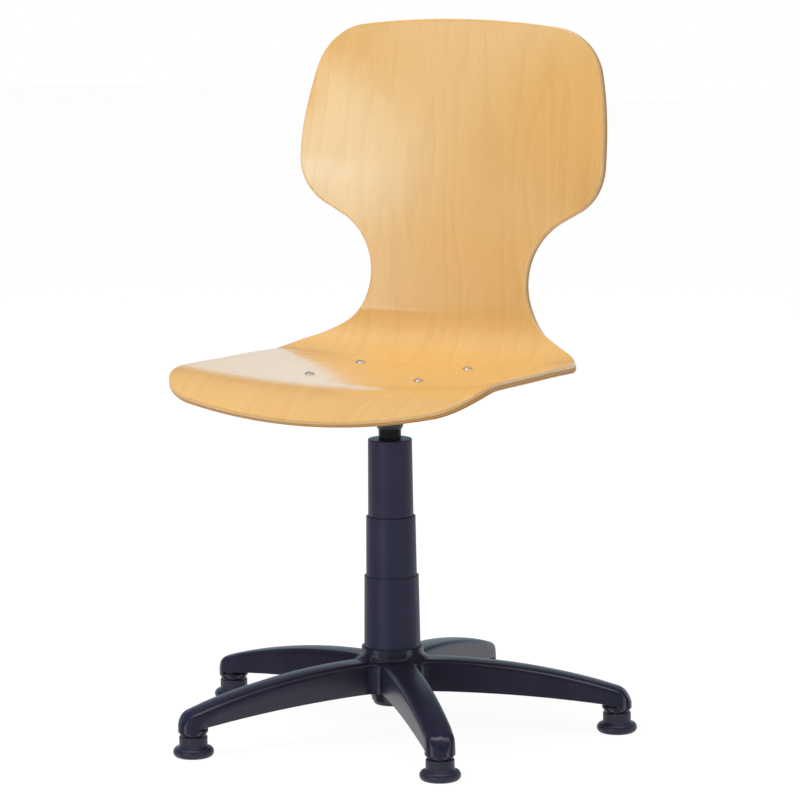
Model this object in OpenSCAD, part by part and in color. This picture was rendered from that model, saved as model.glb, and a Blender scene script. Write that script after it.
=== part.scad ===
// Height-adjustable swivel chair: a moulded plywood seat shell on a gas column,
// with a telescopic column cover and a five-arm nylon base on fixed glides.
// Millimetres, +Z up. The chair faces -Y. The origin lies on the floor in the
// middle of the footprint, and the column stands column_y behind it.

/* [Seat shell] */
// Thickness of the moulded plywood
ply_t = 10; // [8:0.5:12]
// Height of the sitter's face above the floor, over the column
seat_h = 450.5; // [440:0.5:480]
// Fall of the seat towards the rear, degrees
seat_slope = 1.5; // [0:0.25:3]
// Radius of the rolled front, on the sitter's face
front_roll_r = 135; // [115:5:160]
// Turn of the rolled front, degrees
front_roll_a = 42; // [30:1:46]
// Flat run from the front roll back to the column
seat_front = 135; // [120:1:150]
// Flat run from the column back to the rear bend
seat_rear = 84; // [83:1:96]
// Radius of the bend between seat and back, on the sitter's face
bend_r = 76; // [60:1:90]
// Turn of that bend, degrees
bend_a = 83; // [76:1:86]
// Straight run of the lower back
low_back = 87; // [70:1:100]
// Radius of the slight forward curl of the upper back
curl_r = 4800; // [3000:100:8000]

/* [Shell outline, laid flat] */
// Radius of the front edge
front_edge_r = 755; // [600:5:900]
// Half of the turn of the front edge, degrees
front_edge_a = 12.5; // [11:0.5:14]
// Radius of the front corners
front_corner_r = 64; // [50:1:76]
// Turn of the front corners, degrees
front_corner_a = 78.5; // [77:0.5:80]
// Straight run of the seat's sides
side_l = 237; // [220:1:250]
// Radius of the seat's rear corners
rear_corner_r = 63; // [55:1:75]
// Turn of the seat's rear corners, degrees
rear_corner_a = 53.5; // [50:0.5:56]
// Straight run from the rear corner into the waist
flank_l = 46; // [36:1:56]
// Radius of the waist cut-ins
waist_r = 86; // [78:1:94]
// Turn of the waist cut-ins, degrees
waist_a = 116; // [112:0.5:120]
// Straight run from the waist out to the back
shoulder_l = 27; // [18:1:36]
// Radius of the back's lower corners
low_corner_r = 66; // [56:1:76]
// Turn of the back's lower corners, degrees
low_corner_a = 60.5; // [58:0.5:63]
// Radius of the back's bowed sides
back_side_r = 449; // [400:1:500]
// Turn of the back's bowed sides, degrees
back_side_a = 15; // [13:0.5:17]
// Radius of the back's top corners
top_corner_r = 76; // [64:1:84]
// Turn of the back's top corners, degrees
top_corner_a = 69; // [67:0.5:71]

/* [Shell hollow] */
// Distance from the middle at which the hollows below are measured
dish_at = 200; // [180:1:220]
// Rise of the front edge there
front_dish = 12; // [6:0.5:16]
// Rise of the seat there
seat_dish = 11; // [6:0.5:16]
// Wrap of the rear bend there
bend_dish = 9; // [4:0.5:14]
// Wrap of the waist there
waist_dish = 8; // [4:0.5:14]
// Wrap of the back there
back_dish = 14; // [8:0.5:20]
// Wrap of the top edge there
top_dish = 0.5; // [0:0.5:6]
// Round-over of the shell's edges
edge_round = 1.6; // [0.8:0.2:2.4]

/* [Seat fixing] */
// Distance between the seat bolts, side to side
bolt_dx = 150; // [140:1:156]
// Distance between the seat bolts, front to rear
bolt_dy = 136; // [120:1:144]
// Diameter of the seat bolts
bolt_d = 6; // [5:0.5:8]
// Diameter of the bolt heads
bolt_head_d = 12; // [11:0.5:14]
// Height of the bolt heads
bolt_head_h = 3.3; // [2.8:0.1:3.8]
// Depth of the recess that takes a bolt head
spot_depth = 0.6; // [0.4:0.1:1.2]
// Width of the seat plate
plate_w = 178; // [172:1:190]
// Depth of the seat plate, front to rear
plate_d = 164; // [154:1:166]
// Thickness of the plate's sheet steel
plate_t = 2.5; // [2:0.1:3]
// Width of the pressed pan in the plate
pan_w = 78; // [72:1:86]
// Length of the pressed pan, front to rear
pan_l = 118; // [100:1:126]
// Depth of the pressed pan
pan_h = 36; // [34:0.5:38]

/* [Gas column] */
// Diameter of the gas cylinder
cyl_d = 28; // [27:0.1:28.2]
// Height of the cylinder's lower end at full lift
cyl_z0 = 178; // [176:1:190]
// Depth below the seat's face at which the cylinder's clamping cone starts
cone_depth = 68.5; // [66.5:0.5:69.5]
// Length of the clamping cone
cone_l = 30; // [26:1:32]
// Loss of radius along the cone
cone_drop = 0.75; // [0.5:0.05:1]
// Travel of the seat height
lift = 100; // [80:1:100]
// Diameter of the piston rod
rod_d = 10; // [8:0.5:12]
// Outer diameter of the column tube
tube_d = 50; // [49:0.1:50.4]
// Wall of the column tube
tube_wall = 1.8; // [1.5:0.1:2.2]
// Height of the tube's lower end above the floor
tube_z0 = 33; // [30:0.5:36]
// Height of the tube's upper end
tube_z1 = 240; // [230:1:246]

/* [Column cover] */
// Depth of the cover's top below the seat's face
cover_depth = 82.5; // [78.5:0.5:90.5]
// Share of the cover's height that the bottom section takes
low_section_share = 0.363; // [0.34:0.001:0.38]
// Share of the cover's height that the middle section takes
mid_section_share = 0.278; // [0.26:0.001:0.3]
// Diameter of the top section at its top
cover_top_d = 54.8; // [54.6:0.1:55.4]
// Diameter of the top section where the middle one starts
cover_top_d2 = 56.5; // [56.3:0.1:56.8]
// Diameter of the middle section at its top
cover_mid_d = 61.5; // [61.3:0.1:62]
// Diameter of the middle section where the bottom one starts
cover_mid_d2 = 63.3; // [63:0.1:63.8]
// Diameter of the bottom section at its top
cover_low_d = 67.8; // [67.6:0.1:68.4]
// Diameter of the bottom section at the base
cover_low_d2 = 70.5; // [70:0.1:71]
// Wall of the cover sections
cover_wall = 1.2; // [1:0.1:1.3]

/* [Base] */
// Distance of the origin in front of the column
column_y = -23; // [-30:1:-16]
// Radius of the circle through the glides
foot_r = 280; // [260:1:300]
// Turn of the first arm from straight ahead, degrees
star_a = 38.5; // [30:0.5:44]
// Height of the arms' crest
arm_z = 92; // [88:0.5:95]
// Distance of the crest from the column
arm_crest = 40; // [36:1:48]
// Radius of the arched top of an arm
arm_arch_r = 860; // [820:10:1000]
// Radius of the roll at an arm's tip
arm_tip_r = 22; // [18:0.5:26]
// Width of an arm at the hub
arm_w = 42; // [40:0.5:46]
// Width of an arm at its tip
tip_w = 37; // [35:0.5:39]
// Height of an arm's lower edge at the hub
arm_under_z = 53; // [50:0.5:56]
// Radius of the arched lower edge
arm_under_r = 1750; // [1600:10:2200]
// Wall of the base's mouldings
base_wall = 4; // [3:0.5:4.5]
// Radius of the fillets between the arms
crotch_r = 16; // [12:1:22]
// Diameter of the collar round the cover
collar_d = 77; // [76:0.5:80]
// Height of the collar's rim
collar_z = 107; // [105:0.5:110]
// Height of the hub's deck, where the cover stands
deck_z = 98; // [96:0.5:100]

/* [Glides] */
// Diameter of a glide
glide_d = 50; // [46:1:54]
// Height of a glide's disc
glide_h = 14; // [12:0.5:16]
// Diameter of a glide's neck
neck_d = 34.8; // [32:0.1:36]
// Height of the top of the neck
neck_z = 25.8; // [24:0.2:26.6]
// Diameter of the glide pins
pin_d = 11; // [10:0.1:11.4]

/* [Height lever] */
// Thickness of the lever's square bar
lever_d = 8; // [7:0.5:9]
// Distance of the lever's pivot from the column
lever_pivot_x = 25; // [23:0.5:27]
// Reach of the lever from the column
lever_reach = 196; // [180:1:204]
// Drop of the lever's outer part
lever_drop = 12; // [8:1:16]

/* [Hidden] */
$fn = 96;
// Overrun of the cuts
over = 1;
// Clearance of parts pressed together
press_gap = 0.02;
// Radial clearance of shafts that run in a bore
run_gap = 0.06;
// Clearance between moving covers and housings
free_gap = 0.3;
// Length of an arc of radius r and turn a
function arc_of(r, a) = r * a * PI / 180;

// Shell: both the side view and the outline are chains of [length, curvature,
// steps], each tangent to the next, walked from a place [across, along, heading]
function step(p, k, d) =
    k == 0
        ? [p[0] + d * cos(p[2]), p[1] + d * sin(p[2]), p[2]]
        : let (h = p[2] + k * d * 180 / PI)
            [p[0] + (sin(h) - sin(p[2])) / k, p[1] - (cos(h) - cos(p[2])) / k, h];
function walk(chain, d, p, i = 0) =
    i == len(chain) - 1 || d <= chain[i][0]
        ? step(p, chain[i][1], d)
        : walk(chain, d - chain[i][0], step(p, chain[i][1], chain[i][0]), i + 1);
// Outline of half the shell laid flat, drawn in by c, from the middle of the
// front edge to the middle of the top edge
half_turn = 180;
top_edge_a = half_turn - front_edge_a - front_corner_a - rear_corner_a + waist_a
    - low_corner_a - back_side_a - top_corner_a;
open_chain = [
    [arc_of(front_edge_r, front_edge_a), 1 / front_edge_r, 7],
    [arc_of(front_corner_r, front_corner_a), 1 / front_corner_r, 10],
    [side_l, 0, 7],
    [arc_of(rear_corner_r, rear_corner_a), 1 / rear_corner_r, 6],
    [flank_l, 0, 2],
    [arc_of(waist_r, waist_a), -1 / waist_r, 10],
    [shoulder_l, 0, 1],
    [arc_of(low_corner_r, low_corner_a), 1 / low_corner_r, 6],
    [arc_of(back_side_r, back_side_a), 1 / back_side_r, 4],
    [arc_of(top_corner_r, top_corner_a), 1 / top_corner_r, 10],
];
function total(chain, i = 0) = i == len(chain) ? 0 : chain[i][0] + total(chain, i + 1);
open_end = walk(open_chain, total(open_chain), [0, 0, 0]);
top_edge_r = open_end[0] / sin(top_edge_a);
outline_chain = concat(open_chain, [[arc_of(top_edge_r, top_edge_a), 1 / top_edge_r, 7]]);
function drawn_in(c) = [for (g = outline_chain) [g[0] * (1 - c * g[1]), g[1] / (1 - c * g[1]), g[2]]];
function outline_points(c) =
    let (chain = drawn_in(c))
    let (starts = [for (i = 0, p = [0, c, 0]; i < len(chain);
        p = step(p, chain[i][1], chain[i][0]), i = i + 1) p])
    concat(
        [for (i = [0:len(chain) - 1]) for (j = [0:chain[i][2] - 1])
            step(starts[i], chain[i][1], chain[i][0] * j / chain[i][2])],
        [step(starts[len(chain) - 1], chain[len(chain) - 1][1], chain[len(chain) - 1][0])]
    );
// Steps along the front edge and half of its corner, and along one side
half_n = outline_chain[0][2] + outline_chain[1][2] / 2;
col_n = 2 * half_n;
row_n = len(outline_points(0)) - 1 - col_n;
shell_len = outline_points(0)[row_n + col_n][1];
// Side view of the sitter's face along the middle
roll_l = arc_of(front_roll_r, front_roll_a);
column_s = roll_l + seat_front;
bend_l = arc_of(bend_r, bend_a);
back_s = column_s + seat_rear + bend_l + low_back;
side_chain = [
    [roll_l, -1 / front_roll_r],
    [seat_front + seat_rear, 0],
    [bend_l, 1 / bend_r],
    [low_back, 0],
    [shell_len - back_s, 1 / curl_r],
];
front_a = front_roll_a - seat_slope;
column_p = walk(side_chain, column_s, [0, 0, front_a]);
// Place of the deepest wrap along the upper back
back_dish_share = 0.35;
// Hollow across the shell, eased from one place to the next
dish_places = [
    [0, front_dish], [roll_l, front_dish], [column_s, seat_dish],
    [column_s + seat_rear + bend_l / 2, bend_dish], [back_s, waist_dish],
    [back_s + (shell_len - back_s) * back_dish_share, back_dish], [shell_len, top_dish],
];
function eased(t) = t * t * (3 - 2 * t);
function dish(s, i = 0) =
    s <= dish_places[i + 1][0] || i == len(dish_places) - 2
        ? dish_places[i][1] + (dish_places[i + 1][1] - dish_places[i][1])
            * eased(max(0, min(1, (s - dish_places[i][0]) / (dish_places[i + 1][0] - dish_places[i][0]))))
        : dish(s, i + 1);
// Point of the shell at x across and s along, t below the sitter's face
function shell_point(x, s, t) =
    let (p = walk(side_chain, s, [0, 0, front_a]))
    let (bow = 2 * dish(s) / (dish_at * dish_at))
    let (lean = sqrt(1 + bow * bow * x * x))
    let (rise = bow * x * x / 2 - t / lean)
    [x + t * bow * x / lean,
        column_y + p[0] - column_p[0] - sin(p[2]) * rise,
        seat_h + p[1] - column_p[1] + cos(p[2]) * rise];
// Grid of [x, s] that fills the outline o between its four sides
function mirrored(p) = [-p[0], p[1]];
function side_at(o, j, from_top) =
    let (k = abs(j - half_n))
    let (p = from_top ? o[len(o) - 1 - k] : o[k])
    j < half_n ? mirrored(p) : p;
function grid_point(o, i, j) =
    let (corner = o[half_n], top_corner = o[half_n + row_n], side = o[half_n + i])
    let (low = side_at(o, j, false), high = side_at(o, j, true))
    let (v = (side[1] - corner[1]) / (top_corner[1] - corner[1]))
    let (u = low[0] / corner[0])
    [u * side[0] + v * (high[0] - u * top_corner[0]),
        side[1] + (1 - v) * (low[1] - corner[1]) + v * (high[1] - top_corner[1])];
// The edge all the way round, from the left front corner
function rim_points(o) = concat(
    [for (j = [0:col_n - 1]) side_at(o, j, false)],
    [for (i = [0:row_n - 1]) o[half_n + i]],
    [for (j = [col_n:-1:1]) side_at(o, j, true)],
    [for (i = [row_n:-1:1]) mirrored(o[half_n + i])]
);
module shell_solid() {
    inner = outline_points(edge_round);
    outer = outline_points(0);
    rim = rim_points(outer);
    rim_n = len(rim);
    face_n = (row_n + 1) * (col_n + 1);
    face = [for (i = [0:row_n]) for (j = [0:col_n]) grid_point(inner, i, j)];
    function at(i, j) = i * (col_n + 1) + j;
    // Number of a face point on the edge, in the order of rim_points
    function edge_at(n) =
        n < col_n ? at(0, n)
        : n < col_n + row_n ? at(n - col_n, col_n)
        : n < 2 * col_n + row_n ? at(row_n, 2 * col_n + row_n - n)
        : at(2 * col_n + 2 * row_n - n, 0);
    function ring(k, n) =
        k == 0 ? edge_at(n % rim_n)
        : k == 3 ? face_n + edge_at(n % rim_n)
        : 2 * face_n + (k - 1) * rim_n + n % rim_n;
    points = concat(
        [for (p = face) shell_point(p[0], p[1], 0)],
        [for (p = face) shell_point(p[0], p[1], ply_t)],
        [for (p = rim) shell_point(p[0], p[1], edge_round)],
        [for (p = rim) shell_point(p[0], p[1], ply_t - edge_round)]
    );
    // The two triangles of a cell, cut so that no corner of the shell is a sliver
    function cell(i, j) =
        (j < half_n) != (i < row_n / 2)
            ? [[at(i, j), at(i + 1, j), at(i, j + 1)], [at(i + 1, j), at(i + 1, j + 1), at(i, j + 1)]]
            : [[at(i, j), at(i + 1, j), at(i + 1, j + 1)], [at(i, j), at(i + 1, j + 1), at(i, j + 1)]];
    cells = [for (i = [0:row_n - 1]) for (j = [0:col_n - 1]) for (f = cell(i, j)) f];
    faces = concat(
        cells,
        [for (f = cells) [f[2] + face_n, f[1] + face_n, f[0] + face_n]],
        [for (k = [0:2]) for (n = [0:rim_n - 1]) for (f = [
            [ring(k, n), ring(k, n + 1), ring(k + 1, n)],
            [ring(k, n + 1), ring(k + 1, n + 1), ring(k + 1, n)],
        ]) f]
    );
    polyhedron(points, faces, convexity = 6);
}
// Frame of the sloping seat, with its origin on the sitter's face over the column
module on_seat() {
    translate([0, column_y, seat_h]) rotate([-seat_slope, 0, 0]) children();
}
module at_bolts() {
    for (x = [-1, 1]) for (y = [-1, 1])
        on_seat() translate([x * bolt_dx / 2, y * bolt_dy / 2, 0]) children();
}
seat_bow = 2 * seat_dish / (dish_at * dish_at);
// Height of the sitter's face at the bolts, and of the recess under their heads
bolt_face_z = seat_bow * bolt_dx * bolt_dx / 8;
spot_z = bolt_face_z - spot_depth;
spot_gap = 0.5;
bolt_gap = 0.3;
module seat_shell() {
    color("burlywood") difference() {
        shell_solid();
        at_bolts() {
            translate([0, 0, spot_z]) cylinder(h = spot_depth + ply_t, d = bolt_head_d + 2 * spot_gap);
            translate([0, 0, -2 * ply_t]) cylinder(h = 3 * ply_t, d = bolt_d + 2 * bolt_gap);
        }
    }
}

// Seat plate and its fixings, all measured down from the sitter's face
plate_gap = 0.3;
plate_z = -ply_t - plate_gap;
pad_d = 22;
// A pad fills the space under the shell where the hollow leaves the plate
pad_edge_x = bolt_dx / 2 - pad_d / 2;
pad_t = plate_gap + seat_bow * pad_edge_x * pad_edge_x / 2 - press_gap;
washer_d = 12.6;
washer_t = 1.6;
nut_d = 11.5;
nut_h = 4.6;
nut_flange_d = 14;
nut_flange_h = 1.2;
nut_z = plate_z - plate_t - washer_t;
bolt_tip = 2;
socket_across_share = 0.34;
socket_depth_share = 0.6;
module seat_bolts() {
    color("silver") at_bolts() difference() {
        union() {
            translate([0, 0, spot_z]) rotate_extrude() intersection() {
                translate([0, bolt_head_h - bolt_crown_r]) circle(r = bolt_crown_r);
                square([bolt_head_d / 2, bolt_head_h]);
            }
            translate([0, 0, nut_z - nut_flange_h - nut_h - bolt_tip])
                cylinder(h = spot_z - nut_z + nut_flange_h + nut_h + bolt_tip + over / 2, d = bolt_d);
        }
        translate([0, 0, spot_z + bolt_head_h * (1 - socket_depth_share)])
            cylinder(h = bolt_head_h, d = bolt_head_d * socket_across_share / cos(30), $fn = 6);
    }
}
// Crown of a bolt head, which leaves half its height as a straight rim
bolt_rim_h = bolt_head_h / 2;
bolt_crown_r = (bolt_head_d * bolt_head_d / 4 + (bolt_head_h - bolt_rim_h) * (bolt_head_h - bolt_rim_h))
    / (2 * (bolt_head_h - bolt_rim_h));
module seat_pads() {
    color("black") at_bolts() translate([0, 0, plate_z]) difference() {
        cylinder(h = pad_t, d = pad_d);
        translate([0, 0, -over]) cylinder(h = pad_t + 2 * over, d = bolt_d + 2 * bolt_gap);
    }
}
module bolt_washers() {
    color("silver") at_bolts() translate([0, 0, plate_z - plate_t - washer_t]) difference() {
        cylinder(h = washer_t, d = washer_d);
        translate([0, 0, -over]) cylinder(h = washer_t + 2 * over, d = bolt_d + bolt_gap);
    }
}
module bolt_nuts() {
    color("silver") at_bolts() translate([0, 0, nut_z]) difference() {
        union() {
            translate([0, 0, -nut_flange_h]) cylinder(h = nut_flange_h, d = nut_flange_d);
            translate([0, 0, -nut_flange_h - nut_h])
                cylinder(h = nut_h + nut_flange_h / 2, d = nut_d, $fn = 6);
        }
        translate([0, 0, -nut_flange_h - nut_h - over])
            cylinder(h = nut_h + nut_flange_h + 2 * over, d = bolt_d + 2 * press_gap);
    }
}
plate_corner_r = 16;
pan_corner_r = 9;
// Slots that lighten the plate beside the pan, and drain holes in the pan's floor
slot_w = 16;
slot_l = 84;
hole_d = 24;
module rounded_plate(w, l, r, h) {
    linear_extrude(h) union() {
        square([w - 2 * r, l], center = true);
        square([w, l - 2 * r], center = true);
        for (x = [-1, 1]) for (y = [-1, 1]) translate([x * (w / 2 - r), y * (l / 2 - r)]) circle(r = r);
    }
}
module slot_hole(l, w, h) {
    linear_extrude(h) union() {
        square([w, l - w], center = true);
        for (y = [-1, 1]) translate([0, y * (l - w) / 2]) circle(d = w);
    }
}
lip_h = 9;
notch_w = 26;
pan_hole_share = 0.33;
module seat_plate() {
    window_z0 = valve_top_z - seat_h - plate_z;
    color([0.14, 0.14, 0.15]) difference() {
        on_seat() translate([0, 0, plate_z]) plate_pressing(window_z0);
        // The socket stands upright in the pan, which slopes with the seat
        translate([0, column_y, seat_h + plate_z - pan_h - over])
            cylinder(h = pan_h, d = socket_d + 2 * weld_gap);
    }
}
module plate_pressing(window_z0) {
    difference() {
        union() {
            translate([0, 0, -plate_t]) rounded_plate(plate_w, plate_d, plate_corner_r, plate_t);
            translate([0, 0, -pan_h]) rounded_plate(pan_w, pan_l, pan_corner_r, pan_h);
            translate([0, 0, -lip_h]) difference() {
                rounded_plate(plate_w, plate_d, plate_corner_r, lip_h);
                translate([0, 0, -over]) rounded_plate(plate_w - 2 * plate_t, plate_d - 2 * plate_t,
                    plate_corner_r - plate_t, lip_h);
            }
        }
        translate([0, 0, plate_t - pan_h])
            rounded_plate(pan_w - 2 * plate_t, pan_l - 2 * plate_t, pan_corner_r - plate_t, pan_h);
        for (x = [-1, 1]) {
            translate([x * (pan_w + plate_w) / 4, 0, -plate_t - over])
                slot_hole(slot_l, slot_w, plate_t + 2 * over);
            for (y = [-1, 1]) translate([x * bolt_dx / 2, y * bolt_dy / 2, -plate_t - over])
                cylinder(h = plate_t + 2 * over, d = bolt_d + 2 * bolt_gap);
        }
        for (y = [-1, 1]) translate([0, y * pan_l * pan_hole_share, -pan_h - over])
            cylinder(h = plate_t + 2 * over, d = hole_d);
        // Window in the pan's side, whose sill is the lever's stop, and notch in the turned-down edge
        translate([-pan_w / 2 - over, -notch_w / 2, window_z0])
            cube([plate_t + 2 * over, notch_w, -window_z0 - plate_t - window_drop]);
        translate([-plate_w / 2 - over, -notch_w / 2, -lip_h - over])
            cube([plate_t + 2 * over, notch_w, lip_h + over - plate_t]);
    }
}
window_drop = 2;
socket_d = 34;
socket_nose_d = 30.2;
socket_nose_h = 4.5;
socket_gap_z = 1.5;
cone_z0 = seat_h - cone_depth;
socket_z0 = cone_z0 - socket_gap_z;
socket_h = cone_l + socket_gap_z + 2 * socket_gap_z;
weld_gap = 0.6;
weld_flange_d = 52;
weld_flange_t = 3;
// Shift that centres the sloping flange on the upright socket
weld_flange_y = (pan_h - plate_z + weld_flange_t / 2) * tan(seat_slope);
// Bore that takes the cylinder's cone, cut through with its taper carried on
cone_rate = cone_drop / cone_l;
module cone_bore(gap) {
    translate([0, column_y, socket_z0 - over]) cylinder(
        h = socket_h + 2 * over,
        r1 = cyl_d / 2 + gap + cone_rate * (cone_z0 - socket_z0 + over),
        r2 = cyl_d / 2 + gap - cone_rate * (socket_z0 + socket_h + over - cone_z0)
    );
}
module taper_socket() {
    color([0.13, 0.13, 0.14]) difference() {
        union() {
            translate([0, column_y, socket_z0 + socket_nose_h])
                cylinder(h = socket_h - socket_nose_h, d = socket_d);
            translate([0, column_y, socket_z0])
                cylinder(h = socket_nose_h, d1 = socket_nose_d, d2 = socket_d);
            on_seat() translate([0, weld_flange_y, plate_z - pan_h - weld_flange_t])
                cylinder(h = weld_flange_t, d = weld_flange_d);
        }
        cone_bore(press_gap);
    }
}

// Gas column
cyl_wall = 1.5;
cyl_cap = 16;
cyl_z1 = cone_z0 + cone_l;
chamber_r = cyl_d / 2 - cyl_wall;
guide_l = 14;
valve_l = 18;
valve_d = 8;
// Height of the valve pin over the cylinder, and what it loses at its crown
valve_rise = 7;
valve_top_z = cyl_z1 + valve_rise;
valve_chamfer = 1.2;
valve_floor = 3;
valve_pin_l = 33;
module gas_cylinder() {
    color([0.05, 0.05, 0.06]) translate([0, column_y, 0]) difference() {
        union() {
            translate([0, 0, cyl_z0]) cylinder(h = cone_z0 - cyl_z0, d = cyl_d);
            translate([0, 0, cone_z0]) cylinder(h = cone_l, r1 = cyl_d / 2, r2 = cyl_d / 2 - cone_drop);
        }
        translate([0, 0, cyl_z0 - over]) cylinder(h = cyl_z1 - cyl_cap - cyl_z0 + over, r = chamber_r);
        translate([0, 0, cyl_z0]) cylinder(h = cyl_z1 - cyl_z0 + over, r = valve_d / 2 + run_gap);
    }
}
module valve_body() {
    color("goldenrod") translate([0, column_y, cyl_z1 - cyl_cap - valve_l]) difference() {
        cylinder(h = valve_l, r = chamber_r - press_gap);
        translate([0, 0, valve_floor]) cylinder(h = valve_l, r = valve_d / 2 + run_gap);
        for (a = [0:60:300]) rotate([0, 0, a]) translate([chamber_r * port_share, 0, -over])
            cylinder(h = valve_l + 2 * over, d = port_d);
    }
}
port_share = 0.72;
port_d = 2.4;
module valve_pin() {
    color("silver") translate([0, column_y, valve_top_z]) {
        translate([0, 0, -valve_pin_l]) cylinder(h = valve_pin_l - valve_chamfer, d = valve_d);
        translate([0, 0, -valve_chamfer])
            cylinder(h = valve_chamfer, d1 = valve_d, d2 = valve_d - 2 * valve_chamfer);
    }
}
module rod_guide() {
    color("ivory") translate([0, column_y, cyl_z0]) difference() {
        cylinder(h = guide_l, r = chamber_r - press_gap);
        translate([0, 0, -over]) cylinder(h = guide_l + 2 * over, r = rod_d / 2 + run_gap);
        translate([0, 0, guide_l / 2]) seal_groove();
    }
}
seal_d = 2.4;
seal_gap = 0.1;
module seal_groove() {
    translate([0, 0, -seal_d / 2 - seal_gap]) difference() {
        cylinder(h = seal_d + 2 * seal_gap, r = chamber_r + over);
        translate([0, 0, -over]) cylinder(h = seal_d + 2 * over, r = chamber_r - seal_d - seal_gap);
    }
}
module seal_ring(z) {
    color("black") translate([0, column_y, z]) rotate_extrude()
        translate([chamber_r - press_gap - seal_d / 2, 0]) circle(d = seal_d);
}
module guide_seal() {
    seal_ring(cyl_z0 + guide_l / 2);
}
module piston_seal() {
    seal_ring(piston_z + piston_l / 2);
}
piston_gap = 0.8;
piston_l = 12;
piston_z = cyl_z0 + guide_l + piston_gap;
rod_head = 2;
module piston() {
    color("dimgray") translate([0, column_y, piston_z]) difference() {
        cylinder(h = piston_l, r = chamber_r - run_gap);
        translate([0, 0, -over]) cylinder(h = piston_l + 2 * over, r = rod_d / 2 + press_gap);
        translate([0, 0, piston_l / 2]) seal_groove();
    }
}

// Foot of the column: a thrust bearing on the tube's formed floor, held by a clip
floor_z = tube_z0 + 9;
floor_t = 2.5;
race_t = 2.5;
race_d = 30;
ball_d = 4;
ball_n = 12;
ball_ring_r = 10.6;
ball_gap = 0.05;
shank_d = 8;
race_low_z = floor_z + floor_t;
ball_z = race_low_z + race_t + ball_gap + ball_d / 2;
race_top_z = ball_z + ball_d / 2 + ball_gap;
shoulder_z = race_top_z + race_t;
buffer_d = 26;
buffer_h = 18;
buffer_groove_d = 4;
cage_t = 2.4;
cage_d = 27;
pocket_gap = 0.15;
clip_gap = 0.1;
clip_washer_t = 1.5;
clip_washer_d = 24;
clip_t = 1.4;
clip_d = 17;
groove_d = 6;
rod_tip = 2;
clip_z = floor_z - clip_gap - clip_washer_t - clip_gap - clip_t;
module race(z, bore_d) {
    translate([0, column_y, z]) difference() {
        cylinder(h = race_t, d = race_d);
        translate([0, 0, -over]) cylinder(h = race_t + 2 * over, d = bore_d);
    }
}
module race_lower() {
    color("lightgray") race(race_low_z, rod_d + ball_d / 2);
}
module race_upper() {
    color("lightgray") race(race_top_z, shank_d + 2 * press_gap);
}
module bearing_balls() {
    color("white") for (i = [0:ball_n - 1]) translate([0, column_y, ball_z])
        rotate([0, 0, i * 360 / ball_n]) translate([ball_ring_r, 0, 0]) sphere(d = ball_d, $fn = 32);
}
module ball_cage() {
    color("gold") translate([0, column_y, ball_z - cage_t / 2]) difference() {
        cylinder(h = cage_t, d = cage_d);
        translate([0, 0, -over]) cylinder(h = cage_t + 2 * over, d = rod_d + ball_d / 2);
        for (i = [0:ball_n - 1]) rotate([0, 0, i * 360 / ball_n]) translate([ball_ring_r, 0, -over])
            cylinder(h = cage_t + 2 * over, d = ball_d + 2 * pocket_gap);
    }
}
module piston_rod() {
    color("gainsboro") translate([0, column_y, 0]) difference() {
        union() {
            translate([0, 0, shoulder_z])
                cylinder(h = piston_z + piston_l + rod_head - shoulder_z, d = rod_d);
            translate([0, 0, clip_z - rod_tip])
                cylinder(h = shoulder_z - clip_z + rod_tip + over, d = shank_d);
        }
        translate([0, 0, clip_z - clip_gap]) difference() {
            cylinder(h = clip_t + 2 * clip_gap, d = rod_d);
            translate([0, 0, -over]) cylinder(h = clip_t + 2 * over + 2 * clip_gap, d = groove_d);
        }
    }
}
module rubber_buffer() {
    color([0.1, 0.1, 0.1]) translate([0, column_y, shoulder_z]) difference() {
        cylinder(h = buffer_h, d = buffer_d);
        translate([0, 0, -over]) cylinder(h = buffer_h + 2 * over, d = rod_d + 2 * press_gap);
        translate([0, 0, buffer_h / 2]) rotate_extrude()
            translate([buffer_d / 2, 0]) circle(d = buffer_groove_d);
    }
}
module clip_washer() {
    color("silver") translate([0, column_y, clip_z + clip_t + clip_gap]) difference() {
        cylinder(h = clip_washer_t, d = clip_washer_d);
        translate([0, 0, -over]) cylinder(h = clip_washer_t + 2 * over, d = shank_d + 2 * run_gap);
    }
}
// Open clip with three claws that grip the rod's groove
claw_share = 0.7;
module retaining_clip() {
    color("silver") translate([0, column_y, clip_z]) linear_extrude(clip_t) difference() {
        circle(d = clip_d);
        circle(d = groove_d + 2 * press_gap);
        translate([0, -groove_d * claw_share / 2]) square([clip_d, groove_d * claw_share]);
        for (a = [70, 180, 290]) rotate([0, 0, a])
            translate([groove_d * claw_share, 0]) circle(d = groove_d * claw_share);
    }
}
tube_top_r = tube_d / 2;
tube_taper = 0.7;
tube_rim_r = 3.5;
tube_cup_r = 19.5;
floor_hole_d = 13;
module column_tube() {
    color([0.06, 0.06, 0.07]) translate([0, column_y, 0]) difference() {
        union() {
            translate([0, 0, deck_z]) cylinder(h = tube_z1 - deck_z, r = tube_top_r);
            translate([0, 0, tube_z0 + tube_rim_r])
                cylinder(h = deck_z - tube_z0 - tube_rim_r, r1 = tube_top_r - tube_taper, r2 = tube_top_r);
            translate([0, 0, tube_z0 + tube_rim_r]) rotate_extrude()
                translate([tube_top_r - tube_taper - tube_rim_r, 0]) circle(r = tube_rim_r);
            translate([0, 0, tube_z0]) cylinder(h = tube_rim_r, r = tube_top_r - tube_taper - tube_rim_r);
        }
        translate([0, 0, race_low_z]) cylinder(h = tube_z1, r = tube_top_r - tube_wall);
        translate([0, 0, tube_z0 - over]) cylinder(h = floor_z - tube_z0 + over, r = tube_cup_r);
        translate([0, 0, tube_z0]) cylinder(h = tube_z1, d = floor_hole_d);
    }
}
bush_l = 80;
bush_flange_t = 3;
bush_relief = 3;
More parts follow.
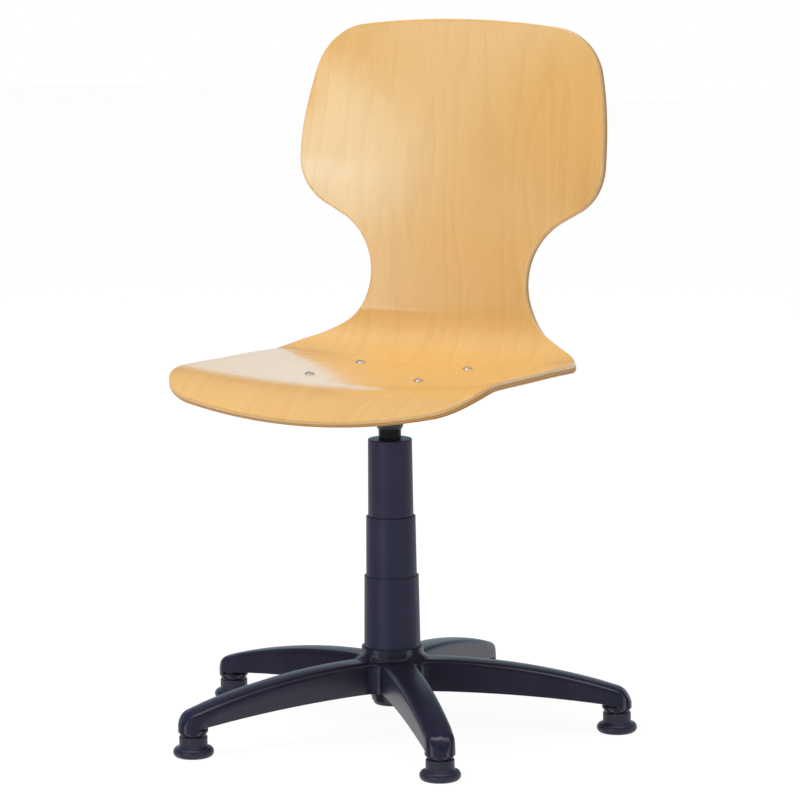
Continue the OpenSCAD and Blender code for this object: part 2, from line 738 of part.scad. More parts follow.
module guide_bush() {
    color("ivory") translate([0, column_y, tube_z1]) difference() {
        union() {
            translate([0, 0, -bush_l]) cylinder(h = bush_l, r = tube_top_r - tube_wall - press_gap);
            cylinder(h = bush_flange_t, r = tube_top_r);
        }
        translate([0, 0, -bush_l - over])
            cylinder(h = bush_l + bush_flange_t + 2 * over, r = cyl_d / 2 + run_gap);
        for (i = [0:3]) translate([0, 0, -bush_l + bush_l * (i + 1 / 4) / 4]) difference() {
            cylinder(h = bush_l / 8, r = tube_top_r);
            translate([0, 0, -over]) cylinder(h = bush_l, r = tube_top_r - tube_wall - bush_relief);
        }
    }
}

// Telescopic cover: each section is drawn up by the bead at the foot of the one above
bead_h = 3;
bead_out = 0.7;
lip_t = 2.2;
catch_gap = 0.4;
cover_rim_r = 1.4;
cap_t = 2;
cap_collar_h = 8;
cover_z1 = seat_h - cover_depth;
cover_z_low = deck_z + (cover_z1 - deck_z) * low_section_share;
cover_z_mid = cover_z_low + (cover_z1 - deck_z) * mid_section_share;
cover_top_z0 = cover_z_mid - lip_t - catch_gap - bead_h;
cover_mid_z0 = cover_z_low - lip_t - catch_gap - bead_h;
top_rate = (cover_top_d2 - cover_top_d) / 2 / (cover_z1 - cover_z_mid);
mid_rate = (cover_mid_d2 - cover_mid_d) / 2 / (cover_z_mid - cover_z_low);
low_rate = (cover_low_d2 - cover_low_d) / 2 / (cover_z_low - deck_z);
module cone_wall(z0, z1, r_top, rate, wall) {
    difference() {
        translate([0, 0, z0]) cylinder(h = z1 - z0, r1 = r_top + rate * (z1 - z0), r2 = r_top);
        translate([0, 0, z0 - over]) cylinder(
            h = z1 - z0 + 2 * over,
            r1 = r_top + rate * (z1 - z0 + over) - wall,
            r2 = r_top - rate * over - wall
        );
    }
}
module ring_of(z, h, r_out, r_in) {
    translate([0, 0, z]) difference() {
        cylinder(h = h, r = r_out);
        translate([0, 0, -over]) cylinder(h = h + 2 * over, r = r_in);
    }
}
top_foot_r = cover_top_d2 / 2 + top_rate * (cover_z_mid - cover_top_z0);
mid_foot_r = cover_mid_d2 / 2 + mid_rate * (cover_z_low - cover_mid_z0);
module cover_top() {
    color([0.16, 0.16, 0.22]) translate([0, column_y, 0]) {
        cone_wall(cover_top_z0, cover_z1 - cover_rim_r, cover_top_d / 2, top_rate, cover_wall);
        ring_of(cover_top_z0, bead_h, top_foot_r + bead_out, top_foot_r - cover_wall / 2);
        difference() {
            union() {
                translate([0, 0, cover_z1 - cover_rim_r]) rotate_extrude()
                    translate([cover_top_d / 2 - cover_rim_r, 0]) circle(r = cover_rim_r);
                translate([0, 0, cover_z1 - cap_t]) cylinder(h = cap_t, r = cover_top_d / 2 - cover_rim_r);
                translate([0, 0, cover_z1 - cap_collar_h]) cylinder(h = cap_collar_h, r = cyl_d / 2 + cap_t);
            }
            translate([0, 0, cover_z1 - cap_collar_h - over])
                cylinder(h = cap_collar_h + 2 * over, r = cyl_d / 2 + press_gap);
        }
    }
}
module cover_middle() {
    color([0.17, 0.17, 0.24]) translate([0, column_y, 0]) {
        cone_wall(cover_mid_z0, cover_z_mid, cover_mid_d / 2, mid_rate, cover_wall);
        ring_of(cover_mid_z0, bead_h, mid_foot_r + bead_out, mid_foot_r - cover_wall / 2);
        ring_of(cover_z_mid - lip_t, lip_t, cover_mid_d / 2 - cover_wall / 2,
            cover_top_d2 / 2 + top_rate * lip_t + free_gap);
    }
}
module cover_bottom() {
    color([0.16, 0.16, 0.22]) translate([0, column_y, 0]) {
        cone_wall(deck_z, cover_z_low, cover_low_d / 2, low_rate, cover_wall);
        ring_of(cover_z_low - lip_t, lip_t, cover_low_d / 2 - cover_wall / 2,
            cover_mid_d2 / 2 + mid_rate * lip_t + free_gap);
    }
}

// Height lever, on a pin in a bracket that stands in the pan
eye_d = 13;
ear_t = 3;
pivot_pin_d = 5;
pivot_head_d = 8;
pivot_head_t = 1.6;
finger_end = 6;
bend_lever_a = 30;
straight_out = 34;
grip_l = 58;
grip_w = 22;
grip_t = 11;
grip_bore_l = 34;
grip_tip_r = 9;
pivot_z = valve_top_z + free_gap + lever_d / 2;
ear_gap = 0.3;
bracket_w = lever_d + 2 * ear_gap + 2 * ear_t;
module at_pivot() {
    translate([-lever_pivot_x, column_y, pivot_z]) children();
}
module lever_bracket() {
    color([0.14, 0.14, 0.15]) difference() {
        union() {
            at_pivot() for (y = [-1, 1]) translate([0, y * (bracket_w - ear_t) / 2, 0])
                rotate([90, 0, 0]) cylinder(h = ear_t, d = eye_d, center = true);
            for (y = [-1, 1]) translate([-lever_pivot_x, column_y + y * (bracket_w - ear_t) / 2, ear_z0])
                translate([-eye_d / 2, -ear_t / 2, 0]) cube([eye_d, ear_t, pivot_z - ear_z0]);
            on_seat() translate([-lever_pivot_x - eye_d / 2, -bracket_foot_w / 2, pan_floor_z])
                cube([eye_d, bracket_foot_w, bracket_t]);
        }
        at_pivot() rotate([90, 0, 0])
            cylinder(h = bracket_w + 2 * over, r = pivot_pin_d / 2 + press_gap, center = true);
    }
}
pan_floor_z = plate_z - pan_h + plate_t;
bracket_t = 2.5;
bracket_foot_rim = 2;
bracket_foot_w = bracket_w + 2 * bracket_foot_rim;
// The upright ears rise from inside the foot, which lies on the sloping pan
ear_z0 = seat_h + pan_floor_z + bracket_t / 2;
module lever_pivot_pin() {
    color("silver") at_pivot() rotate([90, 0, 0]) {
        cylinder(h = bracket_w + 2 * pivot_head_t, d = pivot_pin_d, center = true);
        for (y = [0, 1]) mirror([0, 0, y]) translate([0, 0, bracket_w / 2 + press_gap])
            cylinder(h = pivot_head_t, d = pivot_head_d);
    }
}
slope_run = lever_drop / tan(bend_lever_a);
lever_mitre = lever_d / 2 * tan(bend_lever_a / 2);
lever_end = lever_reach - grip_l + grip_bore_l - lever_pivot_x;
module height_lever() {
    color("silver") at_pivot() rotate([90, 0, 0]) difference() {
        union() {
            cylinder(h = lever_d, d = eye_d - 1.5 * ear_gap, center = true);
            // Square bar: the finger over the valve, then outwards and down to the grip
            linear_extrude(lever_d, center = true) polygon([
                [lever_pivot_x + finger_end, -lever_d / 2], [lever_pivot_x + finger_end, lever_d / 2],
                [-straight_out - lever_mitre, lever_d / 2],
                [-straight_out - slope_run - lever_mitre, lever_d / 2 - lever_drop],
                [-lever_end, lever_d / 2 - lever_drop], [-lever_end, -lever_d / 2 - lever_drop],
                [-straight_out - slope_run + lever_mitre, -lever_d / 2 - lever_drop],
                [-straight_out + lever_mitre, -lever_d / 2],
            ]);
        }
        cylinder(h = lever_d + 2 * over, r = pivot_pin_d / 2 + run_gap, center = true);
    }
}
module lever_grip() {
    color("black") translate([-lever_reach, column_y, pivot_z - lever_drop]) difference() {
        intersection() {
            translate([0, 0, -grip_t / 2]) linear_extrude(grip_t) union() {
                translate([grip_tip_r, 0]) circle(r = grip_w / 2);
                polygon([[grip_tip_r, -grip_w / 2], [grip_l, -grip_w * grip_neck_share],
                    [grip_l, grip_w * grip_neck_share], [grip_tip_r, grip_w / 2]]);
            }
            translate([0, grip_w, 0]) rotate([90, 0, 0]) linear_extrude(2 * grip_w) union() {
                translate([grip_tip_r, 0]) circle(d = grip_t * grip_thin_share);
                polygon([[grip_tip_r, -grip_t * grip_thin_share / 2], [grip_l, -grip_t / 2],
                    [grip_l, grip_t / 2], [grip_tip_r, grip_t * grip_thin_share / 2]]);
            }
        }
        translate([grip_l - grip_bore_l, -lever_d / 2 - press_gap, -lever_d / 2 - press_gap])
            cube([grip_bore_l + over, lever_d + 2 * press_gap, lever_d + 2 * press_gap]);
    }
}
grip_neck_share = 0.34;
grip_thin_share = 0.7;

// Base star: one plan of five arms with filleted crotches, under one arched top
arch_fn = 720;
arms = 5;
arm_a = [for (k = [0:arms - 1]) star_a + 360 / arms * k - 90];
tip_end = foot_r + tip_w / 2;
tip_x = tip_end - arm_tip_r;
arch_z = arm_z - arm_arch_r;
tip_cz = arch_z + sqrt(pow(arm_arch_r - arm_tip_r, 2) - pow(tip_x - arm_crest, 2));
tip_turn = asin((tip_x - arm_crest) / (arm_arch_r - arm_tip_r));
boss_z = 31;
boss_ring_z = 28.2;
boss_ring_d = 33;
bore_depth = 21;
hub_r = 31;
skirt_z = 50;
skirt_r = 29;
skirt_r2 = 26;
skirt_z2 = 38;
pocket_r0 = 47;
pocket_r1 = 258;
rib_t = 3;
cross_rib_t = 2.4;
cross_rib_n = 6;
ring_pocket_r = 41;
collar_foot_r = 45;
collar_foot_z = 90;
collar_foot_h = 6;
// Side view of an arm's top, drawn in by c, to be turned round the column
module top_side(c) {
    union() {
        intersection() {
            translate([arm_crest, arch_z]) circle(r = arm_arch_r - c, $fn = arch_fn);
            square([tip_x + arm_tip_r * sin(tip_turn), arm_z]);
        }
        translate([tip_x, tip_cz]) circle(r = arm_tip_r - c);
        square([tip_end - c, tip_cz]);
    }
}
module star_plan() {
    union() {
        for (a = arm_a) rotate([0, 0, a]) {
            polygon([[0, -arm_w / 2], [foot_r, -tip_w / 2], [foot_r, tip_w / 2], [0, arm_w / 2]]);
            translate([foot_r, 0]) circle(d = tip_w);
        }
        for (a = arm_a) rotate([0, 0, a + 36]) difference() {
            polygon([[0, 0], [crotch_x - crotch_r * sin(crotch_a), crotch_r * cos(crotch_a)],
                [crotch_x, 0], [crotch_x - crotch_r * sin(crotch_a), -crotch_r * cos(crotch_a)]]);
            translate([crotch_x, 0]) circle(r = crotch_r);
        }
    }
}
// The arms' sides close in by arm_turn, so a fillet meets them at crotch_a
arm_turn = atan((arm_w - tip_w) / 2 / foot_r);
crotch_a = 36 + arm_turn;
crotch_x = (arm_w / 2 * cos(arm_turn) + crotch_r) / sin(crotch_a);
module pocket_plan() {
    pocket_l = (pocket_r1 - pocket_r0 + cross_rib_t) / cross_rib_n - cross_rib_t;
    for (i = [0:cross_rib_n - 1]) for (y = [-1, 1]) {
        x0 = pocket_r0 + i * (pocket_l + cross_rib_t);
        x1 = x0 + pocket_l;
        polygon([[x0, y * rib_t / 2], [x1, y * rib_t / 2],
            [x1, y * (arm_half(x1) - base_wall)], [x0, y * (arm_half(x0) - base_wall)]]);
    }
}
function arm_half(x) = arm_w / 2 - (arm_w - tip_w) / 2 * x / foot_r;
module base_star() {
    color([0.15, 0.15, 0.2]) translate([0, column_y, 0]) difference() {
        union() {
            difference() {
                intersection() {
                    rotate_extrude($fn = arch_fn) intersection() {
                        top_side(0);
                        translate([0, boss_z]) square([tip_end, arm_z]);
                    }
                    linear_extrude(arm_z) star_plan();
                }
                // Hollow under the arches, clear of the bosses at the tips
                difference() {
                    rotate_extrude($fn = arch_fn) intersection() {
                        translate([arm_crest, arm_under_z - arm_under_r])
                            circle(r = arm_under_r, $fn = arch_fn);
                        square([foot_r, arm_under_z]);
                    }
                    for (a = arm_a) rotate([0, 0, a]) translate([foot_r, 0, 0])
                        cylinder(h = arm_under_z + over, d = tip_w);
                }
            }
            translate([0, 0, skirt_z]) cylinder(h = deck_z - skirt_z, r = hub_r);
            translate([0, 0, skirt_z2]) cylinder(h = skirt_z - skirt_z2, r1 = skirt_r2, r2 = skirt_r);
            translate([0, 0, collar_foot_z])
                cylinder(h = collar_foot_h, r1 = collar_foot_r, d2 = collar_d);
            translate([0, 0, collar_foot_z]) cylinder(h = collar_z - collar_foot_z, d = collar_d);
            for (a = arm_a) rotate([0, 0, a]) translate([foot_r, 0, boss_ring_z])
                cylinder(h = boss_z - boss_ring_z + over, d = boss_ring_d);
        }
        // Recess that centres the cover, and the tapered bore that grips the tube
        translate([0, 0, deck_z]) cylinder(h = collar_z, r = cover_foot_r + free_gap);
        translate([0, 0, skirt_z2 - over]) cylinder(
            h = deck_z - skirt_z2 + 2 * over,
            r1 = tube_top_r + press_gap - tube_rate * (deck_z - skirt_z2 + over),
            r2 = tube_top_r + press_gap + tube_rate * over
        );
        // Ribbed pockets under the arms, and the ring-shaped one round the bore
        intersection() {
            rotate_extrude($fn = arch_fn) top_side(base_wall);
            linear_extrude(arm_z) for (a = arm_a) rotate([0, 0, a]) pocket_plan();
        }
        difference() {
            cylinder(h = arm_z - base_wall, r = ring_pocket_r);
            translate([0, 0, -over]) cylinder(h = arm_z, r = hub_r);
            for (a = arm_a) rotate([0, 0, a]) translate([0, -rib_t / 2, 0]) cube([tip_end, rib_t, arm_z]);
        }
        for (a = arm_a) rotate([0, 0, a]) translate([foot_r, 0, boss_ring_z - over])
            cylinder(h = bore_depth + over, d = pin_d + 2 * pin_gap);
    }
}
cover_foot_r = cover_low_d / 2 + low_rate * (cover_z_low - deck_z);
tube_rate = tube_taper / (deck_z - tube_z0 - tube_rim_r);

// Glides: a foot moulded round a steel pin, which a grip ring holds in the boss
pin_gap = 0.08;
sole_z = 8;
rim_share = 0.46;
neck_chamfer = 0.8;
pin_collar_d = 20;
pin_top_gap = 0.7;
pin_tip = 1.5;
ring_z = 37;
ring_h = 5;
ring_gap = 0.1;
ring_in_d = 9.4;
module at_foot(k) {
    translate([0, column_y, 0]) rotate([0, 0, arm_a[k]]) translate([foot_r, 0, 0]) children();
}
module glide(k) {
    rim_r = glide_h * rim_share;
    color([0.15, 0.15, 0.2]) at_foot(k) difference() {
        rotate_extrude() union() {
            square([glide_d / 2 - rim_r, 2 * rim_r]);
            translate([glide_d / 2 - rim_r, rim_r]) circle(r = rim_r);
            polygon([[0, 0], [glide_d / 2 - rim_r, 2 * rim_r], [neck_d / 2, glide_h],
                [neck_d / 2, neck_z - neck_chamfer], [neck_d / 2 - neck_chamfer, neck_z], [0, neck_z]]);
        }
        translate([0, 0, sole_z]) cylinder(h = neck_z, d = pin_d + 2 * press_gap);
    }
}
module glide_pin(k) {
    color("silver") at_foot(k) difference() {
        union() {
            translate([0, 0, sole_z])
                cylinder(h = boss_ring_z + bore_depth - pin_top_gap - pin_tip - sole_z, d = pin_d);
            translate([0, 0, boss_ring_z + bore_depth - pin_top_gap - pin_tip])
                cylinder(h = pin_tip, d1 = pin_d, d2 = pin_d - 2 * pin_tip);
            translate([0, 0, neck_z]) cylinder(h = boss_ring_z - neck_z, d = pin_collar_d);
        }
        translate([0, 0, ring_z]) difference() {
            cylinder(h = ring_h, d = pin_d + over);
            translate([0, 0, -over]) cylinder(h = ring_h + 2 * over, d = ring_in_d - 2 * ring_gap);
        }
    }
}
module grip_rings() {
    color("silver") for (k = [0:4]) at_foot(k) translate([0, 0, ring_z + ring_gap])
        linear_extrude(ring_h - 2 * ring_gap) difference() {
            circle(d = pin_d + 2 * pin_gap - 2 * press_gap);
            circle(d = ring_in_d);
            square([pin_d, ring_gap_w], center = false);
        }
}
ring_gap_w = 1.6;
module glide_1() { glide(0); }
module glide_2() { glide(1); }
module glide_3() { glide(2); }
module glide_4() { glide(3); }
module glide_5() { glide(4); }
module glide_pin_1() { glide_pin(0); }
module glide_pin_2() { glide_pin(1); }
module glide_pin_3() { glide_pin(2); }
module glide_pin_4() { glide_pin(3); }
module glide_pin_5() { glide_pin(4); }

seat_shell();
seat_bolts();
bolt_washers();
bolt_nuts();
seat_pads();
seat_plate();
taper_socket();
lever_bracket();
lever_pivot_pin();
height_lever();
lever_grip();
gas_cylinder();
valve_body();
valve_pin();
rod_guide();
guide_seal();
piston();
piston_seal();
piston_rod();
rubber_buffer();
race_upper();
ball_cage();
bearing_balls();
race_lower();
clip_washer();
retaining_clip();
column_tube();
guide_bush();
cover_top();
cover_middle();
cover_bottom();
base_star();
grip_rings();
glide_1();
glide_2();
glide_3();
glide_4();
glide_5();
glide_pin_1();
glide_pin_2();
glide_pin_3();
glide_pin_4();
glide_pin_5();
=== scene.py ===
# Height-adjustable swivel chair: moulded plywood shell, gas column with a
# telescopic cover, five-arm base on glides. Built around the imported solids.
import math

import bpy
from mathutils import Matrix, Vector


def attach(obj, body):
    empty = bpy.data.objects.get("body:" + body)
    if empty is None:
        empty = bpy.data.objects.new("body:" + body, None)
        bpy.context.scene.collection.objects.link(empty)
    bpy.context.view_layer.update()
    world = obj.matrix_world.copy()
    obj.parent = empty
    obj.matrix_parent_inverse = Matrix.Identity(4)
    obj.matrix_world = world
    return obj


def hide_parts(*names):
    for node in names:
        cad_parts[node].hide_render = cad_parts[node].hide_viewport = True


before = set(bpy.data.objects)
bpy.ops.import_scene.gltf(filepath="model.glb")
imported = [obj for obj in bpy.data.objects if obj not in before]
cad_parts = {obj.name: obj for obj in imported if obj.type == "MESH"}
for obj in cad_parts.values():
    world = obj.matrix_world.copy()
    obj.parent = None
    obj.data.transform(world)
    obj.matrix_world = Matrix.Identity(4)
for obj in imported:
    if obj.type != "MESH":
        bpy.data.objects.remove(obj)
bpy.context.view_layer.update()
bpy.ops.object.select_all(action="DESELECT")

# Camera: a long lens more than five metres in front of the chair, off to the
# sitter's left and above the top of the back, as the photograph was taken.
CAMERA_AT = (2.39768, -4.68837, 1.20868)
CAMERA_TURN = (81.40492, 0.67581, 26.95507)
LENS_MM, SENSOR_MM = 192.896, 36.0

bpy.ops.object.camera_add(location=CAMERA_AT, rotation=[math.radians(t) for t in CAMERA_TURN])
camera = bpy.context.object
camera.name = "studio_camera"
camera.data.lens = LENS_MM
camera.data.sensor_width = SENSOR_MM
bpy.context.scene.camera = camera
bpy.context.scene.view_settings.view_transform = "Standard"

# Paper: a white sweep that takes a faint shadow. It burns out to white before the
# lens and in reflections, and only lights the chair from below as real paper does.
SWEEP_HALF = 9.0
PAPER_TONES = (0.3, (0.93, 0.93, 0.935)), (0.7, (0.95, 0.95, 0.955))
PAPER_GLOW, PAPER_GLOW_SHARE = 1.08, 0.86


def node_tree(owner):
    """Turns on the nodes of a material or a world, and empties them."""
    owner.use_nodes = True
    owner.node_tree.nodes.clear()
    return owner.node_tree


def feed(tree, socket, value):
    """Links a socket from another one, or sets its value."""
    if isinstance(value, bpy.types.NodeSocket):
        tree.links.new(value, socket)
    else:
        socket.default_value = value


def add(tree, kind, **inputs):
    """Adds one node; inputs are values, or sockets to link from."""
    node = tree.nodes.new(kind)
    for key, value in inputs.items():
        feed(tree, node.inputs[key.replace("_", " ")], value)
    return node


def maths(tree, operation, *values, clamp=False):
    """Adds one sum; its values are numbers or sockets."""
    node = tree.nodes.new("ShaderNodeMath")
    node.operation = operation
    node.use_clamp = clamp
    for socket, value in zip(node.inputs, values):
        feed(tree, socket, value)
    return node.outputs[0]


def rgba(colour):
    """Opaque colour from a grey or a colour; a socket passes as it is."""
    if isinstance(colour, bpy.types.NodeSocket):
        return colour
    if isinstance(colour, (int, float)):
        return (colour, colour, colour, 1)
    return (*colour, 1)


def ramp(tree, factor, stops, mode="LINEAR"):
    """Colour ramp; stops are (place, grey or colour)."""
    node = tree.nodes.new("ShaderNodeValToRGB")
    node.color_ramp.interpolation = mode
    while len(node.color_ramp.elements) < len(stops):
        node.color_ramp.elements.new(0.5)
    for element, (place, colour) in zip(node.color_ramp.elements, stops):
        element.position = place
        element.color = rgba(colour)
    tree.links.new(factor, node.inputs["Fac"])
    return node.outputs["Color"]


def mixed_shader(tree, share, first, second):
    """Shader between two others, all the second one where share is 1."""
    node = tree.nodes.new("ShaderNodeMixShader")
    for socket, value in zip(node.inputs, (share, first.outputs[0], second.outputs[0])):
        feed(tree, socket, value)
    return node.outputs[0]


def camera_sees(tree):
    """1 for rays that show something to the lens, straight or in a reflection."""
    path = tree.nodes.new("ShaderNodeLightPath")
    seen = maths(tree, "MAXIMUM", path.outputs["Is Camera Ray"], path.outputs["Is Glossy Ray"])
    return maths(tree, "MAXIMUM", seen, path.outputs["Is Transmission Ray"])


bpy.ops.mesh.primitive_plane_add(size=2 * SWEEP_HALF, location=(0, 0, 0))
paper = bpy.context.object
paper.name = "studio_floor"
material = bpy.data.materials.new("white_paper")
tree = node_tree(material)
grain = add(tree, "ShaderNodeTexNoise", Scale=9.0, Detail=3.0)
tone = ramp(tree, grain.outputs["Fac"], PAPER_TONES)
lit = add(tree, "ShaderNodeBsdfDiffuse", Color=tone, Roughness=0.9)
white = add(tree, "ShaderNodeEmission", Color=rgba(1), Strength=PAPER_GLOW)
share = maths(tree, "MULTIPLY", camera_sees(tree), PAPER_GLOW_SHARE)
add(tree, "ShaderNodeOutputMaterial", Surface=mixed_shader(tree, share, lit, white))
paper.data.materials.append(material)

# Room: what shines in the lacquer and the mouldings. It is dim, with a pale wall low
# behind, a skylight, a leaning window in front, a cool veil low across the front and
# a cool ceiling. Stops are (part of a ray's direction, share of the light).
HAZE, ROOM = 0.38, 0.14
WALL_Y, WALL_Z, WALL = ((0.0, 0), (0.25, 1)), ((0.24, 1), (0.52, 0)), 1.0
WALL_COLOUR = (0.76, 1.0, 1.18)
SKYLIGHT_TO, SKYLIGHT_EDGE, SKYLIGHT = (0.1, -0.12, 0.988), ((32, 0), (10, 1)), 2.6
WINDOW_X, WINDOW_LEAN = ((-0.40, 0), (-0.17, 1), (-0.02, 1), (0.10, 0)), 0.6
WINDOW_SIDE, WINDOW_Z, WINDOW = ((-0.47, 0), (-0.35, 1)), ((0.28, 1), (0.36, 0)), 5.2
VEIL_X, VEIL_Z, VEIL = ((-0.63, 0), (-0.38, 1)), ((0.106, 1), (0.150, 0)), 3.0
CEILING_Z, CEILING = ((0.5, 0), (0.75, 1)), 0.38
COOL = (0.62, 0.90, 1.0)


def blend_colours(tree, factor, a, b, mode="MIX", clamp=True):
    """Blends two colours by a factor, which may pass 1 where it isn't clamped."""
    node = tree.nodes.new("ShaderNodeMix")
    node.data_type = "RGBA"
    node.blend_type = mode
    node.clamp_factor = clamp
    feed(tree, node.inputs["Factor"], factor)
    feed(tree, node.inputs[6], rgba(a))
    feed(tree, node.inputs[7], rgba(b))
    return node.outputs[2]


def product(tree, *factors):
    """Multiplies numbers and sockets."""
    result = factors[0]
    for factor in factors[1:]:
        result = maths(tree, "MULTIPLY", result, factor)
    return result


def eased(tree, value, stops, shift=0.0):
    """Soft curve through stops; shift brings places under 0 onto the ramp."""
    if shift:
        value = maths(tree, "ADD", value, shift)
    return ramp(tree, value, [(place + shift, height) for place, height in stops], "EASE")


world = bpy.context.scene.world or bpy.data.worlds.new("studio_room")
bpy.context.scene.world = world
tree = node_tree(world)
towards = tree.nodes.new("ShaderNodeTexCoord").outputs["Generated"]
x, y, z = add(tree, "ShaderNodeSeparateXYZ", Vector=towards).outputs
in_front = maths(tree, "LESS_THAN", y, 0.0)
wall = product(tree, eased(tree, y, WALL_Y), eased(tree, z, WALL_Z), WALL - ROOM)
leaning = maths(tree, "MULTIPLY_ADD", z, WINDOW_LEAN, x)
window = product(tree, eased(tree, leaning, WINDOW_X, shift=0.5), eased(tree, x, WINDOW_SIDE, shift=0.5),
                 eased(tree, z, WINDOW_Z), in_front)
veil = product(tree, eased(tree, x, VEIL_X, shift=1.0), eased(tree, z, VEIL_Z), in_front)
ceiling = eased(tree, z, CEILING_Z)
overhead = tree.nodes.new("ShaderNodeVectorMath")
overhead.operation = "DOT_PRODUCT"
feed(tree, overhead.inputs[0], towards)
feed(tree, overhead.inputs[1], SKYLIGHT_TO)
skylight_stops = [(math.cos(math.radians(angle)), height) for angle, height in SKYLIGHT_EDGE]
skylight = eased(tree, overhead.outputs["Value"], skylight_stops)
cool = maths(tree, "MULTIPLY_ADD", veil, VEIL, maths(tree, "MULTIPLY", window, WINDOW))
cool = maths(tree, "MULTIPLY_ADD", ceiling, CEILING, cool)
cool = blend_colours(tree, cool, 0, COOL, clamp=False)
glow = blend_colours(tree, 1.0, cool, blend_colours(tree, wall, 0, WALL_COLOUR), "ADD")
glow = blend_colours(tree, 1.0, maths(tree, "MULTIPLY_ADD", skylight, SKYLIGHT, ROOM), glow, "ADD")
to_lens = tree.nodes.new("ShaderNodeLightPath").outputs["Is Camera Ray"]
bright = add(tree, "ShaderNodeBackground", Color=blend_colours(tree, to_lens, glow, 1))
dim = add(tree, "ShaderNodeBackground", Color=rgba(1), Strength=HAZE)
add(tree, "ShaderNodeOutputWorld", Surface=mixed_shader(tree, camera_sees(tree), dim, bright))

# Soft boxes, as the lens sees them: one to the front left, a strong one overhead and a
# weak one above right, each with its place, the point it faces, its side and its watts.
# They are kept out of reflections, where the room shows instead.
SOFT_BOXES = {
    "key_box": ((-2.5, -2.0, 1.7), (0, 0, 0.55), 1.6, 29),
    "top_box": ((-0.4, -0.6, 3.0), (0, 0, 0.3), 1.8, 56),
    "fill_box": ((2.0, -0.8, 2.4), (0, 0, 0.4), 1.6, 7),
}
for name, (place, aim, side, watts) in SOFT_BOXES.items():
    turn = (Vector(place) - Vector(aim)).to_track_quat("Z", "Y").to_euler()
    bpy.ops.object.light_add(type="AREA", location=place, rotation=turn)
    lamp = bpy.context.object
    lamp.name = name
    lamp.data.size = side
    lamp.data.energy = watts
    lamp.visible_glossy = False

# Base star: one injection moulding of glass-filled nylon. Five hollow arms with
# an arched top, rounded shoulders and near-upright sides meet in small fillets;
# ribs stiffen them from below, and each tip has a boss for a glide.
# Names end in R for a radius, Z for a height above the floor and T for a thickness
COLUMN = (0.0, -0.023)
ARMS, STAR_TURN, FOOT_R = 5, 38.5, 0.280
ARM_HALF, TIP_HALF = 0.021, 0.0185
CREST_R, CREST_Z, ARCH_R = 0.040, 0.092, 0.860
TIP_ROLL_R = 0.022
UNDER_Z, UNDER_R = 0.053, 1.750
CROTCH_R, SHOULDER_R = 0.016, 0.0080
CROWN, CROWN_START, CROWN_RUN = 0.0008, 0.046, 0.030
STAR_WALL, STAR_HOLE = 0.004, 0.033
SPINE_SHORT, SPINE_TIP = 0.014, 0.019
BOSS_Z = 0.031
KNOB_START, KNOB_Z, KNOB_EASE = 0.260, 0.038, 0.008
CROTCH_STEPS, SIDE_STEPS, TIP_STEPS = 10, 34, 14
WALL_ROWS, SHOULDER_ROWS, TOP_ROWS = 3, 6, 4
# Colours of a moulding: its own, where it is lighter, and where it is rubbed
NYLON = (0.0148, 0.0132, 0.031), (0.022, 0.0196, 0.043), (0.055, 0.055, 0.075)
# Gloss from straight on to grazing, and what the drawn sides add on the slant
EVEN_GLOSS = (0.0, 0.30), (1.0, 0.30)
NYLON_GLOSS = ((0.0, 0.16), (0.10, 0.17), (0.15, 0.70), (0.19, 0.70), (0.26, 0.08), (0.62, 0.08),
               (0.80, 0.35), (1.0, 0.60))
NYLON_SIDE_GLOSS = 0.45
# Pointiness at which an edge begins to look rubbed, and how fast that grows
RUB_FROM, RUB_GAIN = 0.53, 9.0

HALF_PITCH = 180 / ARMS
FIRST_ARM = STAR_TURN - 90
ROLL_X = FOOT_R + TIP_HALF - TIP_ROLL_R
ARCH_Z = CREST_Z - ARCH_R
ROLL_Z = ARCH_Z + math.sqrt((ARCH_R - TIP_ROLL_R) ** 2 - (ROLL_X - CREST_R) ** 2)
ROLL_START = ROLL_X + TIP_ROLL_R * (ROLL_X - CREST_R) / (ARCH_R - TIP_ROLL_R)
ARM_TURN = math.atan((ARM_HALF - TIP_HALF) / FOOT_R)
CROTCH_AT = (ARM_HALF * math.cos(ARM_TURN) + CROTCH_R) / math.sin(math.radians(HALF_PITCH) + ARM_TURN)
SPINE_END = FOOT_R - SPINE_SHORT


def new_material(name):
    """Empty material, its nodes, and the place on the piece as a socket."""
    material = bpy.data.materials.new(name)
    tree = node_tree(material)
    return material, tree, tree.nodes.new("ShaderNodeTexCoord").outputs["Object"]


def noise(tree, place, scale, detail, roughness=0.5):
    """Cloudy grey pattern at place."""
    node = add(tree, "ShaderNodeTexNoise", Vector=place, Scale=scale, Detail=detail, Roughness=roughness)
    return node.outputs["Fac"]


def tint(tree, colour, other, mask, share):
    """Mixes up to share of another colour in, where the mask is bright."""
    return blend_colours(tree, maths(tree, "MULTIPLY", mask, share), colour, other)


def varied(tree, mask, middle, spread):
    """Value that a mask moves about a middle, half the spread each way."""
    return maths(tree, "MULTIPLY_ADD", mask, spread, middle - spread / 2)


def bumps(tree, height, strength, distance):
    """Relief from a pattern, as a normal."""
    return add(tree, "ShaderNodeBump", Height=height, Strength=strength, Distance=distance).outputs[0]


def end_with(tree, **inputs):
    """Ends a material with its shader."""
    shader = add(tree, "ShaderNodeBsdfPrincipled", **inputs)
    add(tree, "ShaderNodeOutputMaterial", Surface=shader.outputs[0])


